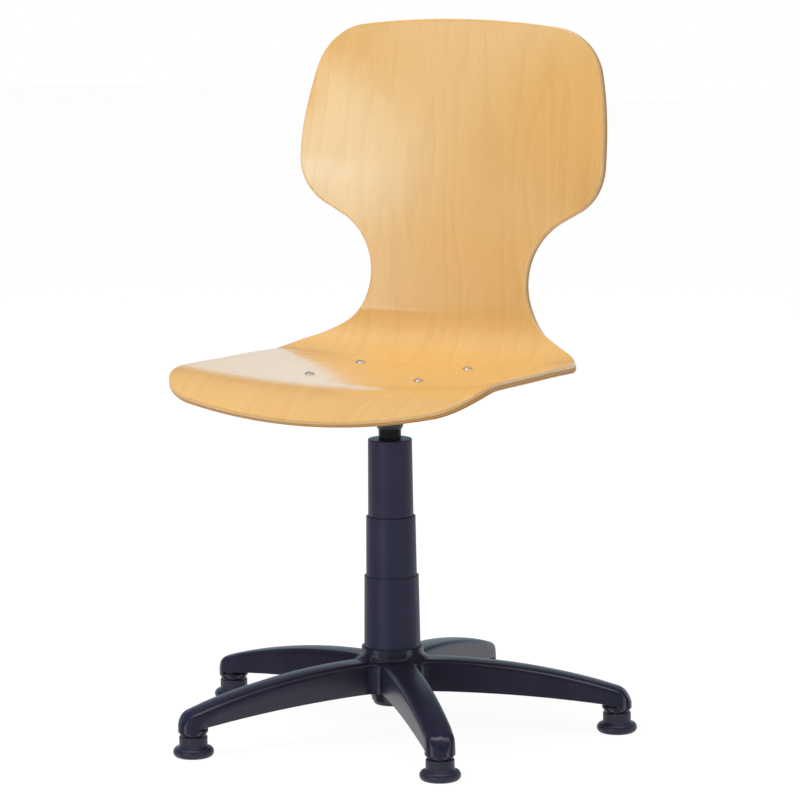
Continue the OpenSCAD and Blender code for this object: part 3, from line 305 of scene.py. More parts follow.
def satin_plastic(name, colours, roughness, grain_scale, grain_depth, gloss=EVEN_GLOSS, side_gloss=0.0):
    """Moulded plastic: fine spark-eroded grain, slow shade changes, rubbed edges."""
    base, light, worn = colours
    material, tree, place = new_material(name)
    slow = noise(tree, place, scale=14.0, detail=3.0)
    fine = noise(tree, place, scale=grain_scale, detail=4.0, roughness=0.6)
    scuff = noise(tree, place, scale=70.0, detail=5.0, roughness=0.7)
    shape = tree.nodes.new("ShaderNodeNewGeometry")
    edge = maths(tree, "SUBTRACT", shape.outputs["Pointiness"], RUB_FROM)
    edge = maths(tree, "MULTIPLY", edge, RUB_GAIN, clamp=True)
    edge = maths(tree, "MULTIPLY", edge, ramp(tree, scuff, ((0.42, 0.0), (0.62, 1.0))))
    colour = blend_colours(tree, ramp(tree, slow, ((0.35, 0.0), (0.65, 1.0))), base, light)
    colour = tint(tree, colour, light, fine, share=0.25)
    colour = tint(tree, colour, worn, edge, share=0.5)
    # Grain scatters light by angle; the drawn sides are smoother, and shine on the slant
    facing = add(tree, "ShaderNodeLayerWeight", Blend=0.5).outputs["Facing"]
    lie = add(tree, "ShaderNodeSeparateXYZ", Vector=shape.outputs["Normal"])
    upright = ramp(tree, lie.outputs["Z"], ((0.3, 1.0), (0.7, 0.0)))
    slant = maths(tree, "MULTIPLY", ramp(tree, facing, ((0.46, 0.0), (0.56, 1.0))), upright)
    end_with(tree, Base_Color=colour, Roughness=varied(tree, fine, roughness, 0.12),
             Normal=bumps(tree, fine, 0.35, grain_depth),
             Specular_IOR_Level=maths(tree, "MULTIPLY_ADD", slant, side_gloss, ramp(tree, facing, gloss)))
    return material


nylon = satin_plastic("satin_nylon", NYLON, roughness=0.40, grain_scale=900.0, grain_depth=0.00006,
                      gloss=NYLON_GLOSS, side_gloss=NYLON_SIDE_GLOSS)


def held(t):
    """t, held between 0 and 1."""
    return min(max(t, 0), 1)


def arch_top(r):
    """Height of an arm's top at r from the column, without its shoulders."""
    if r < ROLL_START:
        return ARCH_Z + math.sqrt(ARCH_R ** 2 - (r - CREST_R) ** 2)
    return ROLL_Z + math.sqrt(max(TIP_ROLL_R ** 2 - (r - ROLL_X) ** 2, 0))


def arch_under(r):
    """Height of an arm's lower edge at r from the column."""
    return UNDER_Z - UNDER_R + math.sqrt(UNDER_R ** 2 - (r - CREST_R) ** 2)


def shoulder_z(r, turn):
    """Height on the shoulder, whose drop fades out where the tip rolls down."""
    lean = held((r - ROLL_X) / TIP_ROLL_R)
    return arch_top(r) - SHOULDER_R * (1 - math.sin(turn)) * math.sqrt(1 - lean ** 2)


def outline_at(i, inset):
    """Point of half an arm's outline in plan, drawn in by inset, from the crotch to the tip."""
    if i <= CROTCH_STEPS:
        sweep = math.radians(90 - HALF_PITCH) - ARM_TURN
        turn = math.radians(180 + HALF_PITCH) + sweep * i / CROTCH_STEPS
        return (CROTCH_AT * math.cos(math.radians(HALF_PITCH)) + (CROTCH_R + inset) * math.cos(turn),
                CROTCH_AT * math.sin(math.radians(HALF_PITCH)) + (CROTCH_R + inset) * math.sin(turn))
    if i <= CROTCH_STEPS + SIDE_STEPS:
        start = outline_at(CROTCH_STEPS, inset)
        share = (i - CROTCH_STEPS) / SIDE_STEPS
        return (start[0] + (FOOT_R - start[0]) * share, start[1] + (TIP_HALF - inset - start[1]) * share)
    turn = math.radians(90) * (1 - (i - CROTCH_STEPS - SIDE_STEPS) / TIP_STEPS)
    return (FOOT_R + (TIP_HALF - inset) * math.cos(turn), (TIP_HALF - inset) * math.sin(turn))


def spine_at(i):
    """Where the ladder of faces over the top ends: on the hole's edge, then along the arm's middle."""
    if i <= CROTCH_STEPS:
        turn = math.radians(HALF_PITCH) * (1 - i / CROTCH_STEPS)
        return (STAR_HOLE * math.cos(turn), STAR_HOLE * math.sin(turn))
    if i <= CROTCH_STEPS + SIDE_STEPS:
        return (STAR_HOLE + (SPINE_END - STAR_HOLE) * (i - CROTCH_STEPS) / SIDE_STEPS, 0.0)
    return (SPINE_END + SPINE_TIP * (i - CROTCH_STEPS - SIDE_STEPS) / TIP_STEPS, 0.0)


def star_point(i, row):
    """Point of half an arm's skin: up its side, round its shoulder, then over its top."""
    if row <= WALL_ROWS:
        x, y = outline_at(i, 0)
        r = math.hypot(x, y)
        low = BOSS_Z if i > CROTCH_STEPS + SIDE_STEPS else arch_under(r)
        return (x, y, low + (shoulder_z(r, 0) - low) * row / WALL_ROWS)
    if row <= WALL_ROWS + SHOULDER_ROWS:
        turn = math.radians(90) * (row - WALL_ROWS) / SHOULDER_ROWS
        x, y = outline_at(i, SHOULDER_R * (1 - math.cos(turn)))
        return (x, y, shoulder_z(math.hypot(x, y), turn))
    share = (row - WALL_ROWS - SHOULDER_ROWS) / TOP_ROWS
    x0, y0 = outline_at(i, SHOULDER_R)
    x1, y1 = spine_at(i)
    x, y = x0 + (x1 - x0) * share, y0 + (y1 - y0) * share
    r = math.hypot(x, y)
    crown = CROWN * held((r - CROWN_START) / CROWN_RUN)
    return (x, y, arch_top(r) + crown * (1 - (1 - share) ** 2))


def only(obj):
    """Makes obj the one selected and active object."""
    bpy.ops.object.select_all(action="DESELECT")
    obj.select_set(True)
    bpy.context.view_layer.objects.active = obj
    return obj


def woven_grid(name, columns, rows, point, **maps):
    """Grid of quads whose corners lie at point(column, row); maps are named UV layers."""
    bpy.ops.object.select_all(action="DESELECT")
    bpy.ops.mesh.primitive_grid_add(x_subdivisions=columns, y_subdivisions=rows, size=1)
    obj = bpy.context.object
    obj.name = name
    cells = [(round((v.co.x + 0.5) * columns), round((v.co.y + 0.5) * rows)) for v in obj.data.vertices]
    for v, cell in zip(obj.data.vertices, cells):
        v.co = point(*cell)
    for label, place in maps.items():
        corners = [place(*cell) for cell in cells]
        layer = obj.data.uv_layers.new(name=label)
        for loop, uv in zip(obj.data.loops, layer.data):
            uv.uv = corners[loop.vertex_index]
    return obj


def finish_with(obj, kind, **settings):
    """Adds a modifier and applies it."""
    only(obj)
    modifier = obj.modifiers.new(kind.lower(), kind)
    for key, value in settings.items():
        setattr(modifier, key, value)
    bpy.ops.object.modifier_apply(modifier=modifier.name)
    return obj


def weld(obj, gap=2e-6, outward=True):
    """Merges doubles, and turns the faces outwards."""
    only(obj)
    bpy.ops.object.mode_set(mode="EDIT")
    bpy.ops.mesh.select_all(action="SELECT")
    bpy.ops.mesh.remove_doubles(threshold=gap)
    if outward:
        bpy.ops.mesh.normals_make_consistent(inside=False)
    bpy.ops.object.mode_set(mode="OBJECT")
    return obj


def smooth(obj, sharp):
    """Shades a piece smooth, but for edges that turn more than sharp degrees."""
    only(obj)
    bpy.ops.object.shade_smooth_by_angle(angle=math.radians(sharp))
    return obj


def one_for_each_arm(obj):
    """Copies a mesh round the column, once for each arm."""
    only(obj)
    bpy.ops.object.mode_set(mode="EDIT")
    bpy.ops.mesh.select_all(action="SELECT")
    bpy.ops.mesh.spin(steps=ARMS - 1, dupli=True, angle=math.radians(360 * (ARMS - 1) / ARMS),
                      center=(*COLUMN, 0), axis=(0, 0, 1))
    bpy.ops.object.mode_set(mode="OBJECT")
    return obj


def put(obj, matrix):
    """Moves a mesh for good, with its object left at the origin."""
    obj.data.transform(matrix)
    obj.matrix_world = Matrix.Identity(4)
    return obj


def at_column(turn=0.0):
    """Matrix that takes what is drawn about the origin to the column, turned about it."""
    return Matrix.Translation((*COLUMN, 0)) @ Matrix.Rotation(math.radians(turn), 4, "Z")


def turned(name, profile, centre=(0.0, 0.0), steps=96, edge=0.0, edge_steps=3, sharp=35):
    """Closed profile of (radius, height) points spun about an upright axis."""
    bpy.ops.object.select_all(action="DESELECT")
    bpy.ops.mesh.primitive_circle_add(vertices=len(profile), radius=1)
    obj = bpy.context.object
    obj.name = name
    for v, (r, z) in zip(obj.data.vertices, profile):
        v.co = (centre[0] + r, centre[1], z)
    bpy.ops.object.mode_set(mode="EDIT")
    bpy.ops.mesh.select_all(action="SELECT")
    bpy.ops.mesh.spin(steps=steps, angle=math.radians(360), center=(*centre, 0), axis=(0, 0, 1))
    bpy.ops.object.mode_set(mode="OBJECT")
    obj.matrix_world = Matrix.Identity(4)
    weld(obj)
    if edge:
        finish_with(obj, "BEVEL", width=edge, segments=edge_steps, limit_method="ANGLE",
                    angle_limit=math.radians(sharp), harden_normals=False)
    return smooth(obj, sharp)


def joined(name, pieces):
    """One object out of several."""
    bpy.ops.object.select_all(action="DESELECT")
    for piece in pieces:
        piece.select_set(True)
    bpy.context.view_layer.objects.active = pieces[0]
    bpy.ops.object.join()
    pieces[0].name = name
    return pieces[0]


def dress(obj, material, body, slot, *nodes):
    """Gives a finished piece its material, its body and the solids it stands for; slot is not used."""
    obj.data.materials.clear()
    obj.data.materials.append(material)
    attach(obj, body)
    if nodes:
        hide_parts(*nodes)
    return obj


arm_skin = woven_grid("arm_skin", CROTCH_STEPS + SIDE_STEPS + TIP_STEPS,
                      WALL_ROWS + SHOULDER_ROWS + TOP_ROWS, star_point)
finish_with(arm_skin, "MIRROR", use_axis=(False, True, False), merge_threshold=1e-6)
# The roll and the shoulders melt into one soft knob at the tip
knob = arm_skin.vertex_groups.new(name="knob")
for v in arm_skin.data.vertices:
    along, up = held((v.co.x - KNOB_START) / KNOB_EASE), held((v.co.z - KNOB_Z) / KNOB_EASE)
    knob.add([v.index], along * up, "REPLACE")
finish_with(arm_skin, "SMOOTH", factor=0.5, iterations=16, vertex_group="knob")
put(arm_skin, at_column(FIRST_ARM))
one_for_each_arm(arm_skin)
weld(arm_skin)
finish_with(arm_skin, "SOLIDIFY", thickness=STAR_WALL, offset=-1, use_even_offset=True)
smooth(arm_skin, sharp=38)

# Ribs under the arms, one lengthwise and five across, run up into the skin
RIB_START, RIB_END, RIB_T = 0.043, 0.268, 0.003
CROSS_RIB_X, CROSS_RIB_T = (0.0814, 0.1170, 0.1525, 0.1881, 0.2237), 0.0024
RIB_LIFT, RIB_STEPS, CROSS_STEPS = 0.001, 24, 16


def rib_point(i, row):
    """Point of the long rib, low or high."""
    x = RIB_START + (RIB_END - RIB_START) * i / RIB_STEPS
    return (x, 0, arch_top(x) - STAR_WALL / 2 if row else arch_under(x) + RIB_LIFT)


def cross_rib_point(x, i, row):
    """Point of a cross rib at x, whose top follows the shoulders inside the skin."""
    wide = ARM_HALF - (ARM_HALF - TIP_HALF) * x / FOOT_R
    y = (wide - STAR_WALL / 2) * (2 * i / CROSS_STEPS - 1)
    lack = max(SHOULDER_R - wide + abs(y), 0)
    top = arch_top(x) - SHOULDER_R + math.sqrt(SHOULDER_R ** 2 - lack ** 2) - STAR_WALL / 2
    return (x, y, top if row else arch_under(x) + RIB_LIFT)


ribs = [finish_with(woven_grid("rib", RIB_STEPS, 1, rib_point), "SOLIDIFY", thickness=RIB_T, offset=0)]
for x in CROSS_RIB_X:
    rib = woven_grid("rib", CROSS_STEPS, 1, lambda i, row: cross_rib_point(x, i, row))
    ribs.append(finish_with(rib, "SOLIDIFY", thickness=CROSS_RIB_T, offset=0))
ribs = weld(joined("ribs", ribs))
put(ribs, at_column(FIRST_ARM))
one_for_each_arm(ribs)

# Boss at each tip, with the pin's bore and the ring that the glide turns under
BOSS_R, BOSS_SKIRT_Z = 0.01845, 0.034
BOSS_RING_R, BOSS_RING_Z = 0.0165, 0.0282
BOSS_CORE_R, BOSS_CORE_Z = 0.0150, 0.0415
BOSS_NOSE_R, BOSS_NOSE_Z = 0.0090, 0.0503
PIN_BORE_R, PIN_BORE_Z = 0.00558, 0.0492
boss = turned("boss", [
    (PIN_BORE_R, BOSS_RING_Z), (BOSS_RING_R, BOSS_RING_Z), (BOSS_RING_R, BOSS_Z), (BOSS_R, BOSS_Z),
    (BOSS_R, BOSS_SKIRT_Z), (BOSS_CORE_R, BOSS_SKIRT_Z), (BOSS_CORE_R, BOSS_CORE_Z),
    (BOSS_NOSE_R, BOSS_NOSE_Z), (0.0, BOSS_NOSE_Z), (0.0, PIN_BORE_Z), (PIN_BORE_R, PIN_BORE_Z),
], steps=64, edge=0.0004, edge_steps=2)
put(boss, at_column(FIRST_ARM) @ Matrix.Translation((FOOT_R, 0, 0)))
one_for_each_arm(boss)
dress(joined("base_arms", [arm_skin, ribs, boss]), nylon, "base", "base_plastic", "base_star")

# Hub: the collar that centres the column cover, its soft fillet down to the
# arms, and the tapered sleeve that grips the column tube from below.
COLLAR_R, COLLAR_BORE_R, COLLAR_Z, COLLAR_LOW_Z = 0.0385, 0.0356, 0.1070, 0.0850
DECK_Z = 0.0980
SLEEVE_R, SLEEVE_STEP_R, SLEEVE_STEP_Z = 0.0310, 0.0290, 0.0500
SLEEVE_FOOT_R, SLEEVE_FOOT_Z = 0.0260, 0.0380
TAPER_FOOT_R, TAPER_MOUTH_R, TAPER_MOUTH_Z = 0.0246, 0.0251, 0.0978
RING_IN_R, RING_OUT_R, RING_LOW_Z, RING_TOP_Z = 0.0415, 0.0458, 0.0535, 0.0870
FILLET_R, CROTCH_FILLET_R, CROTCH_SPREAD = 0.010, 0.0035, 20
FILLET_T, FILLET_LAP, COLLAR_LAP = 0.0015, 0.0001, 0.00003
FILLET_STEPS, FILLET_COLUMNS = 6, 180


def ease(t):
    """Soft start and soft stop between 0 and 1."""
    return t * t * (3 - 2 * t)


def hub_top(r, off):
    """Height of the star's top at r, off being the angle from the nearest crotch."""
    gap = math.sqrt(r ** 2 + CROTCH_AT ** 2 - 2 * r * CROTCH_AT * math.cos(off)) - CROTCH_R
    lack = min(max(SHOULDER_R - gap, 0), SHOULDER_R)
    return arch_top(r) - SHOULDER_R + math.sqrt(SHOULDER_R ** 2 - lack ** 2)


def fillet_point(n, k):
    """Point of the fillet from the collar to the arms' tops, which is tighter in the crotches."""
    turn = math.radians(360 * n / FILLET_COLUMNS)
    off = abs((turn - math.radians(FIRST_ARM)) % math.radians(2 * HALF_PITCH) - math.radians(HALF_PITCH))
    size = CROTCH_FILLET_R + (FILLET_R - CROTCH_FILLET_R) * ease(held(off / math.radians(CROTCH_SPREAD)))
    foot = hub_top(COLLAR_R + size, off) - FILLET_LAP
    rise = arch_top(COLLAR_R) + size - foot
    a = math.radians(90 * k / FILLET_STEPS)
    r = COLLAR_R - COLLAR_LAP + size * (1 - math.cos(a))
    return (r * math.cos(turn), r * math.sin(turn), foot + rise * (1 - math.sin(a)))


fillet = weld(woven_grid("hub_fillet", FILLET_COLUMNS, FILLET_STEPS, fillet_point), outward=False)
weld(finish_with(fillet, "SOLIDIFY", thickness=FILLET_T, offset=1))
smooth(put(fillet, at_column()), sharp=40)
hub = turned("base_hub", [
    (COLLAR_R, COLLAR_Z), (COLLAR_R, COLLAR_LOW_Z), (SLEEVE_R, COLLAR_LOW_Z), (SLEEVE_R, SLEEVE_STEP_Z),
    (SLEEVE_STEP_R, SLEEVE_STEP_Z), (SLEEVE_FOOT_R, SLEEVE_FOOT_Z), (TAPER_FOOT_R, SLEEVE_FOOT_Z),
    (TAPER_MOUTH_R, TAPER_MOUTH_Z), (COLLAR_BORE_R, DECK_Z), (COLLAR_BORE_R, COLLAR_Z),
], centre=COLUMN, edge=0.0011, edge_steps=4, sharp=50)
hub_ring = turned("hub_ring", [
    (RING_IN_R, RING_LOW_Z), (RING_OUT_R, RING_LOW_Z), (RING_OUT_R, RING_TOP_Z), (RING_IN_R, RING_TOP_Z),
], centre=COLUMN, edge=0.0004, edge_steps=2)
dress(joined("base_hub", [hub, hub_ring, fillet]), nylon, "base", "base_plastic")

# Glides: five round acetal feet that turn under the bosses. Each sits on a burnished
# steel pin, which a sprung ring grips in its bore.
GLIDE_ACETAL = (0.018, 0.0165, 0.036), (0.027, 0.025, 0.050), (0.09, 0.09, 0.11)
BURNISHED = (0.075, 0.075, 0.085), (0.045, 0.042, 0.045)


def bare_metal(name, colours, roughness, lay=(1.0, 1.0, 1.0), depth=0.00001):
    """Metal with tool marks along the lay, and faint stains."""
    clean, stain = colours
    material, tree, place = new_material(name)
    drawn = add(tree, "ShaderNodeMapping", Vector=place, Scale=lay).outputs[0]
    marks = noise(tree, drawn, scale=700.0, detail=5.0, roughness=0.7)
    blots = ramp(tree, noise(tree, place, scale=120.0, detail=4.0), ((0.45, 0.0), (0.75, 1.0)))
    rough = maths(tree, "MULTIPLY_ADD", blots, 0.08, varied(tree, marks, roughness, 0.14))
    end_with(tree, Base_Color=tint(tree, clean, stain, blots, share=0.6), Metallic=1.0,
             Roughness=rough, Normal=bumps(tree, marks, 0.3, depth))
    return material


def paint(material, *nodes):
    """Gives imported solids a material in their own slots."""
    for node in nodes:
        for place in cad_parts[node].material_slots:
            place.material = material


numbers = range(1, ARMS + 1)
glide_acetal = satin_plastic("glide_acetal", GLIDE_ACETAL, roughness=0.40, grain_scale=700.0,
                             grain_depth=0.00004)
paint(glide_acetal, *[f"glide_{k}" for k in numbers])
burnished = bare_metal("burnished_steel", BURNISHED, roughness=0.38)
paint(burnished, "grip_rings", *[f"glide_pin_{k}" for k in numbers])

# Column tube and its bearing: a drawn steel tube, powder-coated black, that sits
# in the base's taper; acetal bush at its mouth, ball thrust bearing at its foot.
COAT_BLACK = (0.012, 0.012, 0.015), (0.022, 0.022, 0.026)
DUST = (0.35, 0.35, 0.36)
ZINC = (0.62, 0.63, 0.64), (0.42, 0.43, 0.46)
CHROME = (0.72, 0.72, 0.73), (0.62, 0.62, 0.64)
ACETAL = (0.72, 0.71, 0.66), (0.80, 0.79, 0.74), (0.85, 0.85, 0.80)
RUBBER = (0.012, 0.012, 0.012), (0.022, 0.021, 0.020), (0.05, 0.05, 0.05)


def painted_steel(name, colours, roughness, specular=0.5):
    """Powder coat: faint orange peel, dust, and a few rubbed specks."""
    coat, spot = colours
    material, tree, place = new_material(name)
    peel = noise(tree, place, scale=620.0, detail=2.0)
    cloud = noise(tree, place, scale=22.0, detail=4.0)
    speck = add(tree, "ShaderNodeTexVoronoi", Vector=place, Scale=210.0)
    dust = ramp(tree, speck.outputs["Distance"], ((0.02, 1.0), (0.06, 0.0)))
    colour = tint(tree, tint(tree, coat, spot, cloud, share=0.5), DUST, dust, share=0.12)
    end_with(tree, Base_Color=colour, Roughness=varied(tree, cloud, roughness, 0.16),
             Normal=bumps(tree, peel, 0.25, 0.00008), Specular_IOR_Level=specular)
    return material


black_steel = painted_steel("black_powder_coat", COAT_BLACK, roughness=0.42)
zinc = bare_metal("zinc_plate", ZINC, roughness=0.30, lay=(1, 1, 0.15))
chrome = bare_metal("ground_chrome", CHROME, roughness=0.12, lay=(0.1, 0.1, 2.0), depth=0.000003)
acetal = satin_plastic("acetal", ACETAL, roughness=0.36, grain_scale=500.0, grain_depth=0.00003)
rubber = satin_plastic("rubber", RUBBER, roughness=0.68, grain_scale=380.0, grain_depth=0.0001)
paint(black_steel, "column_tube")
paint(acetal, "guide_bush", "ball_cage")
paint(chrome, "bearing_balls", "piston_rod")
paint(zinc, "race_upper", "race_lower", "clip_washer", "retaining_clip")
paint(rubber, "rubber_buffer")

# Column cover: three polypropylene sleeves that slide into each other. The lower two
# have a thick lip round their mouth, and the upper two an outward bead at their foot.
COVER_LOW_Z, COVER_MID_Z, COVER_TOP_Z = 0.196, 0.271, 0.368
# Radius of each sleeve where it shows lowest, and at its mouth
LOW_FOOT_R, LOW_R = 0.03525, 0.0339
MID_FOOT_R, MID_R = 0.03165, 0.03075
TOP_FOOT_R, TOP_R = 0.02825, 0.0274
COVER_WALL, LIP_T, LOW_LIP, MID_LIP = 0.0012, 0.0022, 0.0015, 0.0018
BEAD_H, BEAD_OUT, CATCH_GAP = 0.0030, 0.0007, 0.0004
RIM_R, RIM_STEP = 0.0014, 15
CAP_T, CAP_COLLAR_H, CAP_COLLAR_R, CAP_BORE_R = 0.0020, 0.0080, 0.0160, 0.01402
COVER_BLUE = (0.028, 0.0255, 0.057), (0.037, 0.034, 0.073), (0.10, 0.10, 0.13)
COVER_GLOSS = (0.0, 0.15), (0.6, 0.18), (1.0, 0.08)

MID_FOOT_Z = COVER_LOW_Z - LIP_T - CATCH_GAP - BEAD_H
TOP_FOOT_Z = COVER_MID_Z - LIP_T - CATCH_GAP - BEAD_H
LOW_RATE = (LOW_FOOT_R - LOW_R) / (COVER_LOW_Z - DECK_Z)
MID_RATE = (MID_FOOT_R - MID_R) / (COVER_MID_Z - COVER_LOW_Z)
TOP_RATE = (TOP_FOOT_R - TOP_R) / (COVER_TOP_Z - COVER_MID_Z)
cover_plastic = satin_plastic("cover_polypropylene", COVER_BLUE, roughness=0.40, grain_scale=800.0,
                              grain_depth=0.00003, gloss=COVER_GLOSS)


def sleeve(name, body, node, z0, z1, r_top, rate, lip, bead_out):
    """Tapered sleeve from its foot at z0 to its mouth at z1."""
    r_foot = r_top + rate * (z1 - z0)
    r_bead = r_top + rate * (z1 - z0 - BEAD_H)
    profile = [
        (r_foot + bead_out, z0), (r_foot + bead_out, z0 + BEAD_H), (r_bead, z0 + BEAD_H), (r_top, z1),
        (r_top - lip, z1), (r_top - lip, z1 - LIP_T), (r_top - COVER_WALL, z1 - LIP_T),
        (r_foot - COVER_WALL, z0),
    ]
    piece = turned(name, profile, centre=COLUMN, steps=128, edge=0.0005, edge_steps=3)
    return dress(piece, cover_plastic, body, "cover_plastic", node)


sleeve("cover_lower_sleeve", "base", "cover_bottom", DECK_Z, COVER_LOW_Z, LOW_R, LOW_RATE, LOW_LIP, 0.0)
sleeve("cover_middle_sleeve", "middle_cover", "cover_middle", MID_FOOT_Z, COVER_MID_Z, MID_R, MID_RATE,
       MID_LIP, BEAD_OUT)

# The top sleeve is closed by a cap that grips the cylinder, with a rounded rim
top_foot_r = TOP_R + TOP_RATE * (COVER_TOP_Z - TOP_FOOT_Z)
rim = [(TOP_R - RIM_R + RIM_R * math.cos(a), COVER_TOP_Z - RIM_R + RIM_R * math.sin(a))
       for a in (math.radians(RIM_STEP * k) for k in range(90 // RIM_STEP + 1))]
upper_sleeve = turned("cover_upper_sleeve", [
    (top_foot_r + BEAD_OUT, TOP_FOOT_Z), (top_foot_r + BEAD_OUT, TOP_FOOT_Z + BEAD_H),
    (top_foot_r, TOP_FOOT_Z + BEAD_H), *rim, (CAP_BORE_R, COVER_TOP_Z),
    (CAP_BORE_R, COVER_TOP_Z - CAP_COLLAR_H), (CAP_COLLAR_R, COVER_TOP_Z - CAP_COLLAR_H),
    (CAP_COLLAR_R, COVER_TOP_Z - CAP_T), (TOP_R - COVER_WALL, COVER_TOP_Z - CAP_T),
    (top_foot_r - COVER_WALL, TOP_FOOT_Z),
], centre=COLUMN, steps=128)
dress(upper_sleeve, cover_plastic, "seat", "cover_plastic", "cover_top")

# Gas cylinder: black drawn steel, its upper end a cone wedged in the seat's
# socket; inside are the piston, its rod, seals, guide and the brass valve.
CYLINDER_BLACK = (0.010, 0.010, 0.012), (0.016, 0.016, 0.019)
BRASS = (0.70, 0.50, 0.20), (0.50, 0.34, 0.13)
cylinder_black = painted_steel("cylinder_black", CYLINDER_BLACK, roughness=0.30, specular=0.08)
brass = bare_metal("turned_brass", BRASS, roughness=0.24, lay=(0.2, 0.2, 2.5))
paint(cylinder_black, "gas_cylinder")
paint(brass, "valve_body", "piston")
paint(zinc, "valve_pin")
paint(acetal, "rod_guide")
paint(rubber, "guide_seal", "piston_seal")

# Seat mechanism: a pressed steel plate with a deep pan, the cylinder's socket
# welded into it, and the height lever on a pin, with a moulded paddle grip.
paint(black_steel, "seat_plate", "taper_socket", "lever_bracket")
paint(zinc, "lever_pivot_pin", "height_lever")
paint(cover_plastic, "lever_grip")

# Seat fixings: four bright zinc-plated bolts go down through the shell and the
# plate, with washers and nuts below and rubber pads in between.
BRIGHT_ZINC = (0.66, 0.66, 0.66), (0.50, 0.50, 0.51)
bright_zinc = bare_metal("bright_zinc", BRIGHT_ZINC, roughness=0.34)
paint(bright_zinc, "seat_bolts")
paint(zinc, "bolt_nuts", "bolt_washers")
paint(rubber, "seat_pads")

# Seat shell: beech veneers laid crosswise and pressed to one waisted sheet with
# a rolled front, a rear bend and a hollow across; edges rounded and lacquered.
SEAT_Z, SEAT_SLOPE, PLY_T, EDGE_R = 0.4505, 1.5, 0.010, 0.0016
FRONT_EDGE_R, FRONT_EDGE_A = 0.755, 12.5
FRONT_CORNER_R, FRONT_CORNER_A = 0.064, 78.5
SIDE_L = 0.237
REAR_CORNER_R, REAR_CORNER_A = 0.063, 53.5
FLANK_L = 0.046
WAIST_R, WAIST_A = 0.086, 116
BACK_SHOULDER_L = 0.027
LOW_CORNER_R, LOW_CORNER_A = 0.066, 60.5
BACK_SIDE_R, BACK_SIDE_A = 0.449, 15
TOP_CORNER_R, TOP_CORNER_A = 0.076, 69
FINER = 4


def arc(radius, turn, steps):
    """Link of a chain that bends: (length, curvature, steps)."""
    return (radius * math.radians(turn), 1 / radius, steps * FINER)


def run(length, steps):
    """Straight link of a chain, in the same form."""
    return (length, 0, steps * FINER)


def stride(place, curve, length):
    """Walks on from (across, along, heading) on one link."""
    x, y, heading = place
    if not curve:
        return (x + length * math.cos(heading), y + length * math.sin(heading), heading)
    turned_to = heading + curve * length
    return (x + (math.sin(turned_to) - math.sin(heading)) / curve,
            y - (math.cos(turned_to) - math.cos(heading)) / curve, turned_to)


# Half the outline laid flat, from the middle of the front to the middle of the top
OPEN_CHAIN = [
    arc(FRONT_EDGE_R, FRONT_EDGE_A, 7), arc(FRONT_CORNER_R, FRONT_CORNER_A, 10), run(SIDE_L, 7),
    arc(REAR_CORNER_R, REAR_CORNER_A, 6), run(FLANK_L, 2), arc(-WAIST_R, -WAIST_A, 10),
    run(BACK_SHOULDER_L, 1), arc(LOW_CORNER_R, LOW_CORNER_A, 6), arc(BACK_SIDE_R, BACK_SIDE_A, 4),
    arc(TOP_CORNER_R, TOP_CORNER_A, 10),
]
TOP_EDGE_A = (180 - FRONT_EDGE_A - FRONT_CORNER_A - REAR_CORNER_A + WAIST_A - LOW_CORNER_A - BACK_SIDE_A
              - TOP_CORNER_A)
end = (0, 0, 0)
for length, curve, steps in OPEN_CHAIN:
    end = stride(end, curve, length)
OUTLINE = OPEN_CHAIN + [arc(end[0] / math.sin(math.radians(TOP_EDGE_A)), TOP_EDGE_A, 7)]


def outline_points(inset):
    """Points (across, along) of the half outline, drawn in by inset."""
    place, points = (0, inset, 0), []
    for length, curve, steps in OUTLINE:
        length, curve = length * (1 - inset * curve), curve / (1 - inset * curve)
        points += [stride(place, curve, length * k / steps) for k in range(steps)]
        place = stride(place, curve, length)
    return [(x, s) for x, s, heading in points + [place]]


# The side view of the sitter's face is a chain too: roll, seat, bend, lower and upper back
FRONT_ROLL_R, FRONT_ROLL_A = 0.135, 42
SEAT_FRONT, SEAT_REAR = 0.135, 0.084
BEND_R, BEND_A = 0.076, 83
LOW_BACK, CURL_R = 0.087, 4.8
# Rise of the face this far from its middle, from the front edge to the top
DISH_AT = 0.200
FRONT_DISH, SEAT_DISH, BEND_DISH, WAIST_DISH, BACK_DISH, TOP_DISH = 0.012, 0.011, 0.009, 0.008, 0.014, 0.0005
BACK_DISH_SHARE = 0.35

HALF_N = OUTLINE[0][2] + OUTLINE[1][2] // 2
COL_N = 2 * HALF_N
ROW_N = len(outline_points(0)) - 1 - COL_N
SHELL_LEN = outline_points(0)[-1][1]
ROLL_L = FRONT_ROLL_R * math.radians(FRONT_ROLL_A)
COLUMN_S = ROLL_L + SEAT_FRONT
BEND_L = BEND_R * math.radians(BEND_A)
BACK_S = COLUMN_S + SEAT_REAR + BEND_L + LOW_BACK
SIDE_CHAIN = [(ROLL_L, -1 / FRONT_ROLL_R), (SEAT_FRONT + SEAT_REAR, 0), (BEND_L, 1 / BEND_R), (LOW_BACK, 0),
              (SHELL_LEN - BACK_S, 1 / CURL_R)]
DISH = [(0, FRONT_DISH), (ROLL_L, FRONT_DISH), (COLUMN_S, SEAT_DISH),
        (COLUMN_S + SEAT_REAR + BEND_L / 2, BEND_DISH), (BACK_S, WAIST_DISH),
        (BACK_S + (SHELL_LEN - BACK_S) * BACK_DISH_SHARE, BACK_DISH), (SHELL_LEN, TOP_DISH)]


def walk(length):
    """Place on the side chain at a length from the front edge: (along, up, heading)."""
    place = (0, 0, math.radians(FRONT_ROLL_A - SEAT_SLOPE))
    for link, curve in SIDE_CHAIN[:-1]:
        if length <= link:
            return stride(place, curve, length)
        place = stride(place, curve, link)
        length -= link
    return stride(place, SIDE_CHAIN[-1][1], length)


COLUMN_P = walk(COLUMN_S)


